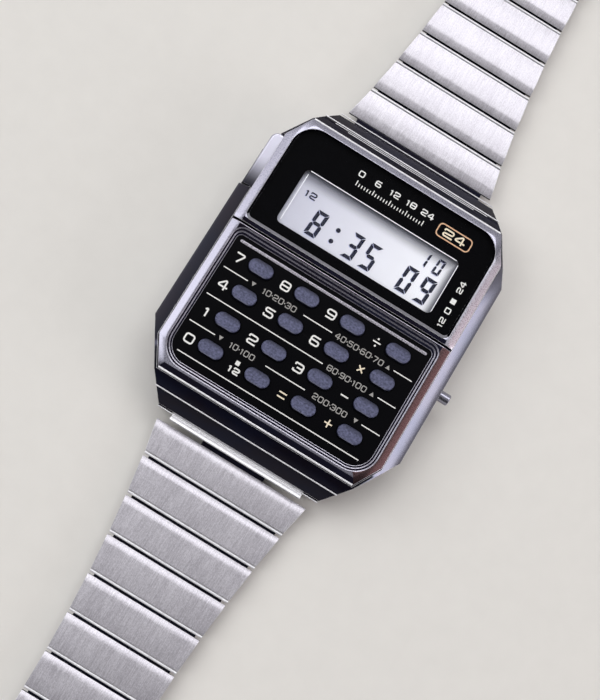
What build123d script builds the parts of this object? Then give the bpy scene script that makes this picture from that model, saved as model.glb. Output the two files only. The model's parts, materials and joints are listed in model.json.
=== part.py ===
"""Calculator watch on a folded-link steel bracelet, lying open and face up.

Frame, in millimetres: +X points to three o'clock, +Y to twelve o'clock, +Z up
out of the face. The origin is the middle of the case back's outer face, which
rests on the table. Each function makes one piece, and the table of pieces at
the end writes one STEP file for each of them.
"""
import os
from math import atan, degrees, hypot

from build123d import *

# Case body
CASE_HALF_WIDTH = 18.0
CASE_BOTTOM_Z = 0.25
CASE_TOP_Z = 6.6
SIDE_FLAT_HALF_LENGTH = 13.0
HOOD_OVERHANG = 3.65
HOOD_LIP_Z = 3.75
HOOD_UNDERSIDE_Z = 3.5
HOOD_RIDGE_SETBACK = 2.0
HOOD_RIDGE_Z = 5.6
LUG_WIDTH = 2.0
CORNER_SPREAD = 2.6
CORNER_SETBACK = 3.35
SHOULDER_LEDGE = 0.2
EDGE_BREAK = 0.12
OVERRUN = 2.0

# Cavity for the module
SIDE_WALL = 3.9
END_WALL = 1.7
CAVITY_CORNER = 4.3

# Bezels
BEZEL_SIDE_SETBACK = 1.95
BEZEL_HALF_LENGTH = 18.6
BEZEL_CORNER_X = 2.05
BEZEL_CORNER_Y = 3.6
BEZEL_TOP_Z = 8.0
BEZEL_SLOPE_WIDTH = 0.8
BEZEL_SLOPE_DROP = 0.32
SEAM_Y = 2.2
SEAM_GAP = 0.3

# Display window
WINDOW_SIDE_RIM = 1.18
WINDOW_TOP_RIM = 0.9
WINDOW_SEAM_RIM = 0.75
WINDOW_TOP_RADIUS = 3.2
WINDOW_BOTTOM_RADIUS = 0.9
WINDOW_LEDGE = 1.6
WINDOW_LEDGE_HEIGHT = 0.35
MASK_THICKNESS = 0.15
GLASS_THICKNESS = 0.95
GLASS_BEVEL = 0.3
SEAT_CLEARANCE = 0.02
APERTURE_SIDE_BORDER = 3.47
APERTURE_TOP_BORDER = 5.05
APERTURE_LENGTH = 7.9
APERTURE_RADIUS = 0.7

# Keypad bezel steps
KEYPAD_SIDE_RIM = 1.1
KEYPAD_SEAM_RIM = 0.45
KEYPAD_BOTTOM_RIM = 1.15
KEYPAD_TOP_RADIUS = 1.4
KEYPAD_BOTTOM_RADIUS = 3.3
STEP_WIDTH = 0.35
STEP_TOP_WIDTH = 0.45
STEP_DROP = 0.15
KEYPAD_LEDGE = 0.85
KEYPAD_LEDGE_HEIGHT = 0.2

# Keypad plate, keys and mat
PLATE_THICKNESS = 0.8
TRIM_BAR_DROP = 1.62
TRIM_BAR_INSET = 1.3
TRIM_BAR_WIDTH = 0.36
TRIM_BAR_HEIGHT = 0.12
KEY_GRID_X = 0.435
KEY_GRID_MARGIN = 1.596
KEY_ROW_DROP = 3.4
KEY_ROW_PITCH = 3.954
KEY_LENGTH = 3.35
KEY_WIDTH = 1.85
KEY_PROUD = 0.55
KEY_DOME = 0.22
KEY_SLOT_CLEARANCE = 0.08
KEY_FLANGE_RIM = 0.35
KEY_FLANGE_THICKNESS = 0.45
KEY_FLANGE_GAP = 0.05
KEY_PILL_LENGTH = 1.8
KEY_PILL_WIDTH = 1.1
KEY_PILL_HEIGHT = 0.75
MAT_THICKNESS = 0.8
MAT_MARGIN = 0.9
MAT_HOLE_CLEARANCE = 0.3
KEY_ROWS = (
    ("key_7", "key_8", "key_9", "key_divide"),
    ("key_4", "key_5", "key_6", "key_times"),
    ("key_1", "key_2", "key_3", "key_minus"),
    ("key_0", "key_point", "key_equals", "key_plus"),
)

# Display cell and its elastomer strips
LCD_SIDE_BORDER = 0.8
LCD_END_BORDER = 1.15
LCD_THICKNESS = 0.85
LCD_LEDGE_THICKNESS = 0.45
LCD_LEDGE_WIDTH = 1.0
LCD_CLEARANCE = 0.4
STRIP_END_SETBACK = 1.2
STRIP_INSET = 0.3

# Circuit board and what it carries
BOARD_SIDE_GAP = 1.4
BOARD_END_GAP = 0.5
BOARD_CORNER = 4.4
BOARD_THICKNESS = 0.6
BOARD_BOTTOM_Z = 4.4
CHIP_SIZE = 7.0
CHIP_HEIGHT = 1.0
CHIP_X = -5.5
CHIP_Y = -11.0
CRYSTAL_RADIUS = 0.75
CRYSTAL_LENGTH = 6.0
CRYSTAL_X = 5.0
CRYSTAL_Y = -13.0
POCKET_CLEARANCE = 0.2

# Module frame, cell, clip and buzzer
FRAME_CLEARANCE = 0.2
FRAME_BOTTOM_Z = 1.2
CELL_RADIUS = 10.0
CELL_THICKNESS = 1.6
CELL_RIM = 0.6
CELL_STEP = 0.2
CELL_Y = 4.5
CLIP_THICKNESS = 0.25
CLIP_WIDTH = 5.0
CLIP_END_SETBACK = 1.9
BUZZER_RADIUS = 7.0
BUZZER_THICKNESS = 0.25
BUZZER_Y = -8.5
LEAF_THICKNESS = 0.15
LEAF_HALF_WIDTH = 0.8

# Case back, gasket and screws
BACK_SIDE_LAP = 1.3
BACK_END_LAP = 2.0
BACK_CORNER_X = 2.4
BACK_CORNER_Y = 3.3
BACK_THICKNESS = 0.8
BACK_CLEARANCE = 0.05
GASKET_INSET = 0.25
GASKET_WIDTH = 0.55
GASKET_HEIGHT = 0.4
SCREW_SIDE_SETBACK = 1.1
SCREW_END_SETBACK = 0.9
SCREW_HEAD_RADIUS = 1.1
SCREW_HEAD_HEIGHT = 0.45
SCREW_HEAD_INSET = 0.1
SCREW_SHANK_RADIUS = 0.5
SCREW_LENGTH = 2.4
SCREW_SLOT_WIDTH = 0.25
SCREW_SLOT_DEPTH = 0.2
THREAD_CLEARANCE = 0.03

# Wide button at the upper left
MODE_Y0 = 7.0
MODE_LENGTH = 8.0
MODE_SUNK = 0.4
MODE_DEPTH = 1.45
MODE_Z0 = 3.4
MODE_HEIGHT = 3.1
MODE_END_RADIUS = 1.0
MODE_EDGE = 0.3
MODE_TRAVEL = 0.45
MODE_STEM_RADIUS = 0.6
MODE_STEM_Z = 4.8
MODE_RECESS_CLEARANCE = 0.1

# Small round button at the lower right
ADJUST_Y = -2.75
ADJUST_Z = 4.0
ADJUST_RADIUS = 0.75
ADJUST_PROUD = 1.5
ADJUST_SUNK = 0.7
ADJUST_TRAVEL = 0.5
ADJUST_STEM_RADIUS = 0.45

# What both buttons share
STEM_CLEARANCE = 0.05
STEM_TIP_GAP = 0.1
SEAL_WIDTH = 0.5
SEAL_WALL = 0.4
SEAL_DEPTH = 0.4
SEAL_CLEARANCE = 0.02
CLIP_RING_RADIUS = 1.05
CLIP_RING_THICKNESS = 0.2
CLIP_RING_GAP = 0.06

# Lugs and spring bars
BAR_SETBACK = 0.35
BAR_Z = 1.95
LUG_NOSE_RADIUS = 0.65
BAR_RADIUS = 0.75
BAR_TIP_RADIUS = 0.35
BAR_TIP_LENGTH = 1.25
LUG_SIDE_CLEARANCE = 0.2
LUG_CLEARANCE = 0.15
FIT_CLEARANCE = 0.03

# Bracelet links
TUBE_RADIUS = 1.4
TUBE_HALF_LENGTH = 9.6
TONGUE_HALF_WIDTH = 4.6
LIP_START = 0.45
LIP_RISE = 0.3
LIP_SINK = 0.23
LIP_EDGE = 0.1
FIRST_PLATE_GAP = 1.63
FIRST_PLATE_LENGTH = 4.57
LINK_PITCH = 5.264
LINK_GAP = 0.34
LINK_TOP_Z = 2.35
LINK_PLATE_THICKNESS = 0.75
LINK_SLOPE_DROP = 0.12
LINK_CROWN = 0.06
FIRST_LEAD_LENGTH = 1.5
LINK_LEAD_LENGTH = 1.2
LINK_LEAD_DROP = 0.34
BEAD_WIDTH = 0.36
BEAD_DROP = 0.05
BEAD_GROOVE_WIDTH = 0.12
BEAD_GROOVE_DEPTH = 0.22
BARREL_RADIUS = 0.75
BARREL_Z = 0.78
BARREL_CLEARANCE = 0.14
PIN_RADIUS = 0.35
PIN_CLEARANCE = 0.03
LINK_SIDE_MARGIN = 0.7
KNUCKLE_SHARE = 0.46
KNUCKLE_GAP = 0.08
STRAP_START_HALF_WIDTH = 11.05
STRAP_END_HALF_WIDTH = 7.4
TAPERED_LINKS = 7
LOWER_LINKS = 8
UPPER_LINKS = 7

# Clasp on the lower strap
COVER_LENGTH = 28.0
COVER_OVERHANG = 0.9
COVER_WALL = 0.55
COVER_ROOF = 0.55
COVER_CROWN = 0.5
BLADE_SIDE_GAP = 0.85
BLADE_THICKNESS = 0.5
BLADE_START = 3.4
BLADE_HINGE_BACK = 1.5
BLADE_WINDOW_LENGTH = 6.0
BLADE_WINDOW_WIDTH = 7.0
BLADE_WINDOWS = 2
BLADE_BAR_RADIUS = 0.45
BLADE_Z = 1.0
LOCK_LENGTH = 6.4
LOCK_SIDE_SETBACK = 2.3
LOCK_THICKNESS = 0.35
LOCK_BACK = 2.3
LOCK_Z = 0.4
LOCK_BARREL_RADIUS = 0.3
LOCK_PIN_RADIUS = 0.15

# Ladder tail on the upper strap
TAIL_LENGTH = 34.0
TAIL_SIDE_INSET = 1.1
TAIL_THICKNESS = 0.8
TAIL_RAIL_WIDTH = 1.3
TAIL_SLOTS = 9
TAIL_SLOT_PITCH = 3.0
TAIL_SLOT_START = 6.5
TAIL_SLOT_WIDTH = 1.3
TAIL_SLOT_SIDE = 2.9
TAIL_CORNER = 1.2

# Outlines that follow from the sizes above
BEZEL_HALF_WIDTH = CASE_HALF_WIDTH - BEZEL_SIDE_SETBACK
HOOD_HALF_LENGTH = BEZEL_HALF_LENGTH + HOOD_OVERHANG
HOOD_RIDGE_Y = HOOD_HALF_LENGTH - HOOD_RIDGE_SETBACK
LUG_INNER_X = TUBE_HALF_LENGTH + LUG_SIDE_CLEARANCE
HOOD_END_HALF_WIDTH = LUG_INNER_X + LUG_WIDTH
CAVITY_HALF_WIDTH = CASE_HALF_WIDTH - SIDE_WALL
CAVITY_HALF_LENGTH = BEZEL_HALF_LENGTH - END_WALL
WINDOW_HALF_WIDTH = BEZEL_HALF_WIDTH - WINDOW_SIDE_RIM
WINDOW_TOP_Y = BEZEL_HALF_LENGTH - WINDOW_TOP_RIM
WINDOW_BOTTOM_Y = SEAM_Y + WINDOW_SEAM_RIM
APERTURE_HALF_WIDTH = WINDOW_HALF_WIDTH - APERTURE_SIDE_BORDER
APERTURE_TOP_Y = WINDOW_TOP_Y - APERTURE_TOP_BORDER
APERTURE_BOTTOM_Y = APERTURE_TOP_Y - APERTURE_LENGTH
APERTURE_MID_Y = (APERTURE_TOP_Y + APERTURE_BOTTOM_Y) / 2
KEYPAD_HALF_WIDTH = BEZEL_HALF_WIDTH - KEYPAD_SIDE_RIM
KEYPAD_TOP_Y = SEAM_Y - KEYPAD_SEAM_RIM
KEYPAD_BOTTOM_Y = KEYPAD_BOTTOM_RIM - BEZEL_HALF_LENGTH
KEY_COLUMN_PITCH = 2 * (KEYPAD_HALF_WIDTH - KEY_GRID_MARGIN) / len(KEY_ROWS[0])
LCD_HALF_WIDTH = APERTURE_HALF_WIDTH + LCD_SIDE_BORDER
LCD_HALF_LENGTH = APERTURE_LENGTH / 2 + LCD_END_BORDER
BOARD_HALF_WIDTH = CAVITY_HALF_WIDTH - BOARD_SIDE_GAP
BOARD_HALF_LENGTH = CAVITY_HALF_LENGTH - BOARD_END_GAP
CLIP_HALF_LENGTH = CAVITY_HALF_WIDTH - CLIP_END_SETBACK
MODE_OUTER_X = CASE_HALF_WIDTH - MODE_SUNK
MODE_INNER_X = MODE_OUTER_X - MODE_DEPTH
MODE_Y1 = MODE_Y0 + MODE_LENGTH
MODE_Z1 = MODE_Z0 + MODE_HEIGHT
BAR_Y = HOOD_HALF_LENGTH - BAR_SETBACK
FIRST_PLATE_Y = HOOD_HALF_LENGTH + FIRST_PLATE_GAP
FIRST_PIN_Y = FIRST_PLATE_Y + FIRST_PLATE_LENGTH + LINK_GAP / 2
COVER_HALF_WIDTH = STRAP_END_HALF_WIDTH + COVER_OVERHANG
BLADE_HALF_WIDTH = COVER_HALF_WIDTH - COVER_WALL - BLADE_SIDE_GAP
LOCK_HALF_WIDTH = BLADE_HALF_WIDTH - LOCK_SIDE_SETBACK
TAIL_HALF_WIDTH = STRAP_END_HALF_WIDTH - TAIL_SIDE_INSET
TAIL_SLOT_HALF_LENGTH = TAIL_HALF_WIDTH - TAIL_SLOT_SIDE

# Levels that follow from the sizes above
LEDGE_TOP_Z = CASE_TOP_Z + WINDOW_LEDGE_HEIGHT
GLASS_BOTTOM_Z = LEDGE_TOP_Z + MASK_THICKNESS
GLASS_TOP_Z = GLASS_BOTTOM_Z + GLASS_THICKNESS
PLATE_BOTTOM_Z = CASE_TOP_Z + KEYPAD_LEDGE_HEIGHT
PLATE_TOP_Z = PLATE_BOTTOM_Z + PLATE_THICKNESS
BOARD_TOP_Z = BOARD_BOTTOM_Z + BOARD_THICKNESS
MAT_TOP_Z = BOARD_TOP_Z + MAT_THICKNESS
LCD_TOP_Z = LEDGE_TOP_Z - LCD_CLEARANCE
LCD_BOTTOM_Z = LCD_TOP_Z - LCD_THICKNESS
CELL_BOTTOM_Z = FRAME_BOTTOM_Z + CLIP_THICKNESS


def block(x0, x1, y0, y1, z0, z1):
    """A box between two corners."""
    return Pos((x0 + x1) / 2, (y0 + y1) / 2, (z0 + z1) / 2) * Box(x1 - x0, y1 - y0, z1 - z0)


def rod_x(x0, x1, y, z, radius):
    """A round bar along X."""
    return Pos((x0 + x1) / 2, y, z) * Rot(0, 90, 0) * Cylinder(radius, x1 - x0)


def rod_z(x, y, z0, z1, radius):
    """A round bar along Z."""
    return Pos(x, y, (z0 + z1) / 2) * Cylinder(radius, z1 - z0)


def four_quarters(quarter):
    """A closed outline from the points of its upper right quarter, top point first."""
    right = [(x, -y) for x, y in quarter] + quarter[::-1]
    return right + [(-x, y) for x, y in reversed(right)]


def cut_corners(half_x, half_y, flat_x, flat_y):
    """The eight points of a rectangle whose corners are cut off."""
    return four_quarters([(flat_x, half_y), (half_x, flat_y)])


def prism(points, z0, z1):
    """An upright solid on a closed outline."""
    return Pos(0, 0, z0) * extrude(Polygon(*points, align=None), z1 - z0)


def rounded_panel(half_width, y0, y1, bottom_radius, top_radius, z0, z1):
    """An upright panel whose top and bottom corners have their own radii."""
    face = Pos(0, (y0 + y1) / 2) * Rectangle(2 * half_width, y1 - y0)
    face = fillet(face.vertices().group_by(Axis.Y)[-1], top_radius)
    low_corners = [v for v in face.vertices() if v.Y < y0 + bottom_radius / 2]
    face = fillet(low_corners, bottom_radius)
    return Pos(0, 0, z0) * extrude(face, z1 - z0)


def oblong(x, y, length, width, z0, z1):
    """An upright bar with round ends, lying along X."""
    face = Pos(x, y) * SlotOverall(length, width)
    return Pos(0, 0, z0) * extrude(face, z1 - z0)


def key_places():
    """Name and centre of each key, row by row."""
    first_x = KEY_GRID_X - (len(KEY_ROWS[0]) - 1) * KEY_COLUMN_PITCH / 2
    first_y = KEYPAD_TOP_Y - KEY_ROW_DROP
    return {
        name: (first_x + column * KEY_COLUMN_PITCH, first_y - row * KEY_ROW_PITCH)
        for row, names in enumerate(KEY_ROWS)
        for column, name in enumerate(names)
    }


def cavity_outline(grow=0.0):
    """Outline of the module cavity, grown outwards by a wall or a gap."""
    half_x = CAVITY_HALF_WIDTH + grow
    half_y = CAVITY_HALF_LENGTH + grow
    cut = CAVITY_CORNER + grow * (2 - hypot(1, 1))
    return cut_corners(half_x, half_y, half_x - cut, half_y - cut)


def mode_recess():
    """The pocket in the side wall that the wide button moves in."""
    inner_x = MODE_INNER_X - MODE_TRAVEL - MODE_RECESS_CLEARANCE
    return block(
        -CASE_HALF_WIDTH - OVERRUN, -inner_x,
        MODE_Y0 - MODE_RECESS_CLEARANCE, MODE_Y1 + MODE_RECESS_CLEARANCE,
        MODE_Z0 - MODE_RECESS_CLEARANCE, CASE_TOP_Z + OVERRUN)


def mode_stem_y():
    """The wide button's stem is in the middle of the button."""
    return (MODE_Y0 + MODE_Y1) / 2


def seal_span(wall_outer_x):
    """Inner and outer X of a seal that sits in the wall of the case."""
    outer = wall_outer_x - SEAL_DEPTH
    return outer - SEAL_WIDTH, outer


def mode_wall_x():
    """Outer face of the wall that the wide button's stem passes through."""
    return MODE_INNER_X - MODE_TRAVEL - MODE_RECESS_CLEARANCE


def adjust_wall_x():
    """Bottom of the pocket that the round button sinks into."""
    return CASE_HALF_WIDTH - ADJUST_SUNK - ADJUST_TRAVEL - MODE_RECESS_CLEARANCE


def case_body():
    """Steel body: octagonal plan, sloped shoulders, two hoods and four lugs."""
    outline = four_quarters([
        (HOOD_END_HALF_WIDTH, HOOD_HALF_LENGTH),
        (HOOD_END_HALF_WIDTH + CORNER_SPREAD, HOOD_HALF_LENGTH - CORNER_SETBACK),
        (CASE_HALF_WIDTH, SIDE_FLAT_HALF_LENGTH),
    ])
    body = prism(outline, CASE_BOTTOM_Z, CASE_TOP_Z)
    body &= shoulders()
    for side in (1, -1):
        for hand in (1, -1):
            x0, x1 = sorted((hand * LUG_INNER_X, hand * HOOD_END_HALF_WIDTH))
            body += rod_x(x0, x1, side * BAR_Y, BAR_Z, LUG_NOSE_RADIUS)
        recess_y = BAR_Y - TUBE_RADIUS - LUG_CLEARANCE
        body -= block(
            -LUG_INNER_X, LUG_INNER_X,
            min(side * recess_y, side * (HOOD_HALF_LENGTH + OVERRUN)),
            max(side * recess_y, side * (HOOD_HALF_LENGTH + OVERRUN)),
            CASE_BOTTOM_Z - OVERRUN, HOOD_UNDERSIDE_Z)
        reach = TUBE_HALF_LENGTH + BAR_TIP_LENGTH + FIT_CLEARANCE
        body -= rod_x(-reach, reach, side * BAR_Y, BAR_Z, BAR_TIP_RADIUS + FIT_CLEARANCE)
    body -= prism(cavity_outline(), CASE_BOTTOM_Z - OVERRUN, CASE_TOP_Z + OVERRUN)
    body -= prism(back_outline(BACK_CLEARANCE), CASE_BOTTOM_Z - OVERRUN, BACK_THICKNESS)
    body -= gasket_ring(0)
    for x, y in screw_places():
        body -= rod_z(x, y, 0, SCREW_HEAD_INSET + SCREW_LENGTH + THREAD_CLEARANCE,
                      SCREW_SHANK_RADIUS + THREAD_CLEARANCE)
    body -= mode_recess()
    body -= rod_x(-mode_wall_x() - OVERRUN, -CAVITY_HALF_WIDTH + OVERRUN, mode_stem_y(),
                  MODE_STEM_Z, MODE_STEM_RADIUS + STEM_CLEARANCE)
    body -= rod_x(CAVITY_HALF_WIDTH - OVERRUN, CASE_HALF_WIDTH + OVERRUN, ADJUST_Y, ADJUST_Z,
                  ADJUST_STEM_RADIUS + STEM_CLEARANCE)
    body -= rod_x(adjust_wall_x(), CASE_HALF_WIDTH + OVERRUN, ADJUST_Y, ADJUST_Z,
                  ADJUST_RADIUS + STEM_CLEARANCE)
    inner, outer = seal_span(mode_wall_x())
    body -= rod_x(-outer, -inner, mode_stem_y(), MODE_STEM_Z, MODE_STEM_RADIUS + SEAL_WALL)
    inner, outer = seal_span(adjust_wall_x())
    body -= rod_x(inner, outer, ADJUST_Y, ADJUST_Z, ADJUST_STEM_RADIUS + SEAL_WALL)
    return body


def sloping_down(outline, top_z, drop, spread):
    """A solid that widens downwards from an outline, by a spread over a drop."""
    face = Polygon(*outline, align=None)
    return (Pos(0, 0, top_z) * Rot(180, 0, 0)
            * extrude(face, drop, taper=-degrees(atan(spread / drop))))


def shoulder_outline(spread):
    """Outline of the case's shoulders, spread out from its top edge."""
    return bezel_outline(SHOULDER_LEDGE + spread)


def shoulders():
    """The two slopes that fall from the case's top edge to its sides and hoods."""
    upper_drop = CASE_TOP_Z - HOOD_RIDGE_Z
    upper_width = HOOD_RIDGE_Y - BEZEL_HALF_LENGTH - SHOULDER_LEDGE
    lower_drop = HOOD_RIDGE_Z - HOOD_LIP_Z
    reach = (HOOD_RIDGE_Z - CASE_BOTTOM_Z) / lower_drop
    upper = sloping_down(shoulder_outline(0), CASE_TOP_Z, upper_drop, upper_width)
    lower = sloping_down(shoulder_outline(upper_width), HOOD_RIDGE_Z,
                         lower_drop * reach, HOOD_RIDGE_SETBACK * reach)
    return upper + lower


def display_bezel():
    """Upper half of the rim, with the pocket that the glass sits in."""
    bottom = SEAM_Y + SEAM_GAP / 2
    bezel = bezel_blank()
    bezel &= block(-CASE_HALF_WIDTH, CASE_HALF_WIDTH, bottom, HOOD_HALF_LENGTH,
                   CASE_TOP_Z, BEZEL_TOP_Z)
    bezel -= window_panel(SEAT_CLEARANCE, LEDGE_TOP_Z, BEZEL_TOP_Z + OVERRUN)
    inset = WINDOW_LEDGE
    bezel -= rounded_panel(
        WINDOW_HALF_WIDTH - inset, WINDOW_BOTTOM_Y + inset, WINDOW_TOP_Y - inset,
        WINDOW_BOTTOM_RADIUS, WINDOW_TOP_RADIUS - inset, CASE_TOP_Z - OVERRUN,
        BEZEL_TOP_Z)
    return bezel


def bezel_outline(grow):
    """Outline of the bezels, or of what lies round them, grown by a ledge."""
    turn_x = hypot(BEZEL_CORNER_X, BEZEL_CORNER_Y) - BEZEL_CORNER_Y
    turn_y = hypot(BEZEL_CORNER_X, BEZEL_CORNER_Y) - BEZEL_CORNER_X
    return cut_corners(
        BEZEL_HALF_WIDTH + grow, BEZEL_HALF_LENGTH + grow,
        BEZEL_HALF_WIDTH - BEZEL_CORNER_X + grow * turn_y / BEZEL_CORNER_Y,
        BEZEL_HALF_LENGTH - BEZEL_CORNER_Y + grow * turn_x / BEZEL_CORNER_X)


def bezel_blank():
    """Both bezels before they are cut apart: upright sides under a sloping rim."""
    rim_z = BEZEL_TOP_Z - BEZEL_SLOPE_DROP
    outline = bezel_outline(0)
    rim = extrude(Polygon(*outline, align=None), BEZEL_SLOPE_DROP,
                  taper=degrees(atan(BEZEL_SLOPE_WIDTH / BEZEL_SLOPE_DROP)))
    return prism(outline, CASE_TOP_Z, rim_z) + Pos(0, 0, rim_z) * rim


def window_panel(grow, z0, z1):
    """The window's outline as a solid, for the glass, its mask and their pocket."""
    return rounded_panel(
        WINDOW_HALF_WIDTH + grow, WINDOW_BOTTOM_Y - grow, WINDOW_TOP_Y + grow,
        WINDOW_BOTTOM_RADIUS, WINDOW_TOP_RADIUS, z0, z1)


def window_glass():
    """Clear window with a bevelled lower edge."""
    glass = window_panel(0, GLASS_BOTTOM_Z, GLASS_TOP_Z)
    low_edge = glass.edges().filter_by(Axis.X).group_by(Axis.Z)[-1].sort_by(Axis.Y)[0]
    return chamfer(low_edge, GLASS_BEVEL)


def window_mask():
    """Black mask behind the glass, with the display's aperture."""
    mask = window_panel(0, LEDGE_TOP_Z, GLASS_BOTTOM_Z)
    return mask - rounded_panel(
        APERTURE_HALF_WIDTH, APERTURE_BOTTOM_Y, APERTURE_TOP_Y, APERTURE_RADIUS,
        APERTURE_RADIUS, LEDGE_TOP_Z - OVERRUN, BEZEL_TOP_Z)


def keypad_panel(level, z0, z1, grow=0.0):
    """Outline of the keypad opening at one of its steps, counted from the top."""
    side = level * STEP_WIDTH
    return rounded_panel(
        KEYPAD_HALF_WIDTH - side + grow, KEYPAD_BOTTOM_Y + side - grow,
        KEYPAD_TOP_Y - level * STEP_TOP_WIDTH + grow,
        KEYPAD_BOTTOM_RADIUS - side, KEYPAD_TOP_RADIUS - side, z0, z1)


def keypad_bezel():
    """Lower half of the rim, with two polished steps round the keypad."""
    top = SEAM_Y - SEAM_GAP / 2
    bezel = bezel_blank()
    bezel &= block(-CASE_HALF_WIDTH, CASE_HALF_WIDTH, -HOOD_HALF_LENGTH, top,
                   CASE_TOP_Z, BEZEL_TOP_Z)
    bezel -= keypad_panel(0, BEZEL_TOP_Z - STEP_DROP, BEZEL_TOP_Z + OVERRUN)
    bezel -= keypad_panel(1, BEZEL_TOP_Z - 2 * STEP_DROP, BEZEL_TOP_Z)
    bezel -= keypad_panel(2, PLATE_BOTTOM_Z, BEZEL_TOP_Z)
    ledge_half = KEYPAD_HALF_WIDTH - 2 * STEP_WIDTH - KEYPAD_LEDGE
    bezel -= block(
        -ledge_half, ledge_half, KEYPAD_BOTTOM_Y + 2 * STEP_WIDTH + KEYPAD_LEDGE,
        KEYPAD_TOP_Y - 2 * STEP_TOP_WIDTH - KEYPAD_LEDGE, CASE_TOP_Z - OVERRUN, BEZEL_TOP_Z)
    return bezel


def keypad_plate():
    """Black keypad panel with a slot for each key."""
    plate = keypad_panel(2, PLATE_BOTTOM_Z, PLATE_TOP_Z, -SEAT_CLEARANCE)
    for x, y in key_places().values():
        plate -= oblong(
            x, y, KEY_LENGTH + 2 * KEY_SLOT_CLEARANCE, KEY_WIDTH + 2 * KEY_SLOT_CLEARANCE,
            PLATE_BOTTOM_Z - OVERRUN, PLATE_TOP_Z + OVERRUN)
    return plate


def keypad_trim_bar():
    """Bright bar across the top of the keypad panel."""
    return oblong(0, KEYPAD_TOP_Y - TRIM_BAR_DROP, 2 * (KEYPAD_HALF_WIDTH - TRIM_BAR_INSET),
                  TRIM_BAR_WIDTH, PLATE_TOP_Z, PLATE_TOP_Z + TRIM_BAR_HEIGHT)


def key_cap(x, y):
    """Rubber key: domed head, flange under the panel and a contact pill."""
    head_top = PLATE_TOP_Z + KEY_PROUD
    flange_top = PLATE_BOTTOM_Z - KEY_FLANGE_GAP
    flange_bottom = flange_top - KEY_FLANGE_THICKNESS
    head = oblong(x, y, KEY_LENGTH, KEY_WIDTH, flange_top, head_top)
    head = fillet(head.edges().group_by(Axis.Z)[-1], KEY_DOME)
    rim = 2 * KEY_FLANGE_RIM
    flange = oblong(x, y, KEY_LENGTH + rim, KEY_WIDTH + rim, flange_bottom, flange_top)
    pill = oblong(x, y, KEY_PILL_LENGTH, KEY_PILL_WIDTH,
                  flange_bottom - KEY_PILL_HEIGHT, flange_bottom)
    return head + flange + pill


def keypad_mat():
    """Silicone sheet on the circuit board, open under each key."""
    places = list(key_places().values())
    reach_x = KEY_LENGTH / 2 + KEY_FLANGE_RIM + MAT_MARGIN
    reach_y = KEY_WIDTH / 2 + KEY_FLANGE_RIM + MAT_MARGIN
    mat = block(
        min(x for x, _ in places) - reach_x, max(x for x, _ in places) + reach_x,
        min(y for _, y in places) - reach_y, max(y for _, y in places) + reach_y,
        BOARD_TOP_Z, MAT_TOP_Z)
    mat &= prism(cut_corners(
        BOARD_HALF_WIDTH, BOARD_HALF_LENGTH, BOARD_HALF_WIDTH - BOARD_CORNER,
        BOARD_HALF_LENGTH - BOARD_CORNER), BOARD_TOP_Z, MAT_TOP_Z)
    for x, y in places:
        mat -= oblong(
            x, y, KEY_PILL_LENGTH + 2 * MAT_HOLE_CLEARANCE,
            KEY_PILL_WIDTH + 2 * MAT_HOLE_CLEARANCE, BOARD_BOTTOM_Z, PLATE_BOTTOM_Z)
    return mat


def lcd_cell():
    """Display cell: a front glass on a rear glass with two contact ledges."""
    y = APERTURE_MID_Y
    front_half = LCD_HALF_LENGTH
    rear = block(-LCD_HALF_WIDTH, LCD_HALF_WIDTH, y - front_half + LCD_LEDGE_WIDTH,
                 y + front_half - LCD_LEDGE_WIDTH, LCD_BOTTOM_Z,
                 LCD_TOP_Z - LCD_LEDGE_THICKNESS)
    front = block(-LCD_HALF_WIDTH, LCD_HALF_WIDTH, y - front_half, y + front_half,
                  LCD_TOP_Z - LCD_LEDGE_THICKNESS, LCD_TOP_Z)
    return rear + front


def elastomer_strips():
    """Two conductive rubber strips between the board and the cell's ledges."""
    strips = []
    half = LCD_HALF_WIDTH - STRIP_END_SETBACK
    for side in (1, -1):
        outer = APERTURE_MID_Y + side * (LCD_HALF_LENGTH - STRIP_INSET / 2)
        inner = APERTURE_MID_Y + side * (LCD_HALF_LENGTH - LCD_LEDGE_WIDTH + STRIP_INSET / 2)
        y0, y1 = sorted((inner, outer))
        strips.append(block(-half, half, y0, y1, BOARD_TOP_Z,
                            LCD_TOP_Z - LCD_LEDGE_THICKNESS))
    return Compound(children=strips)


def circuit_board():
    """Printed circuit board under the display and the keypad."""
    return prism(cut_corners(
        BOARD_HALF_WIDTH, BOARD_HALF_LENGTH, BOARD_HALF_WIDTH - BOARD_CORNER,
        BOARD_HALF_LENGTH - BOARD_CORNER), BOARD_BOTTOM_Z, BOARD_TOP_Z)


def driver_chip():
    """Flat chip under the board."""
    half = CHIP_SIZE / 2
    return block(CHIP_X - half, CHIP_X + half, CHIP_Y - half, CHIP_Y + half,
                 BOARD_BOTTOM_Z - CHIP_HEIGHT, BOARD_BOTTOM_Z)


def quartz_crystal():
    """Crystal can lying under the board."""
    half = CRYSTAL_LENGTH / 2
    return rod_x(CRYSTAL_X - half, CRYSTAL_X + half, CRYSTAL_Y,
                 BOARD_BOTTOM_Z - CRYSTAL_RADIUS, CRYSTAL_RADIUS)


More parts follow.
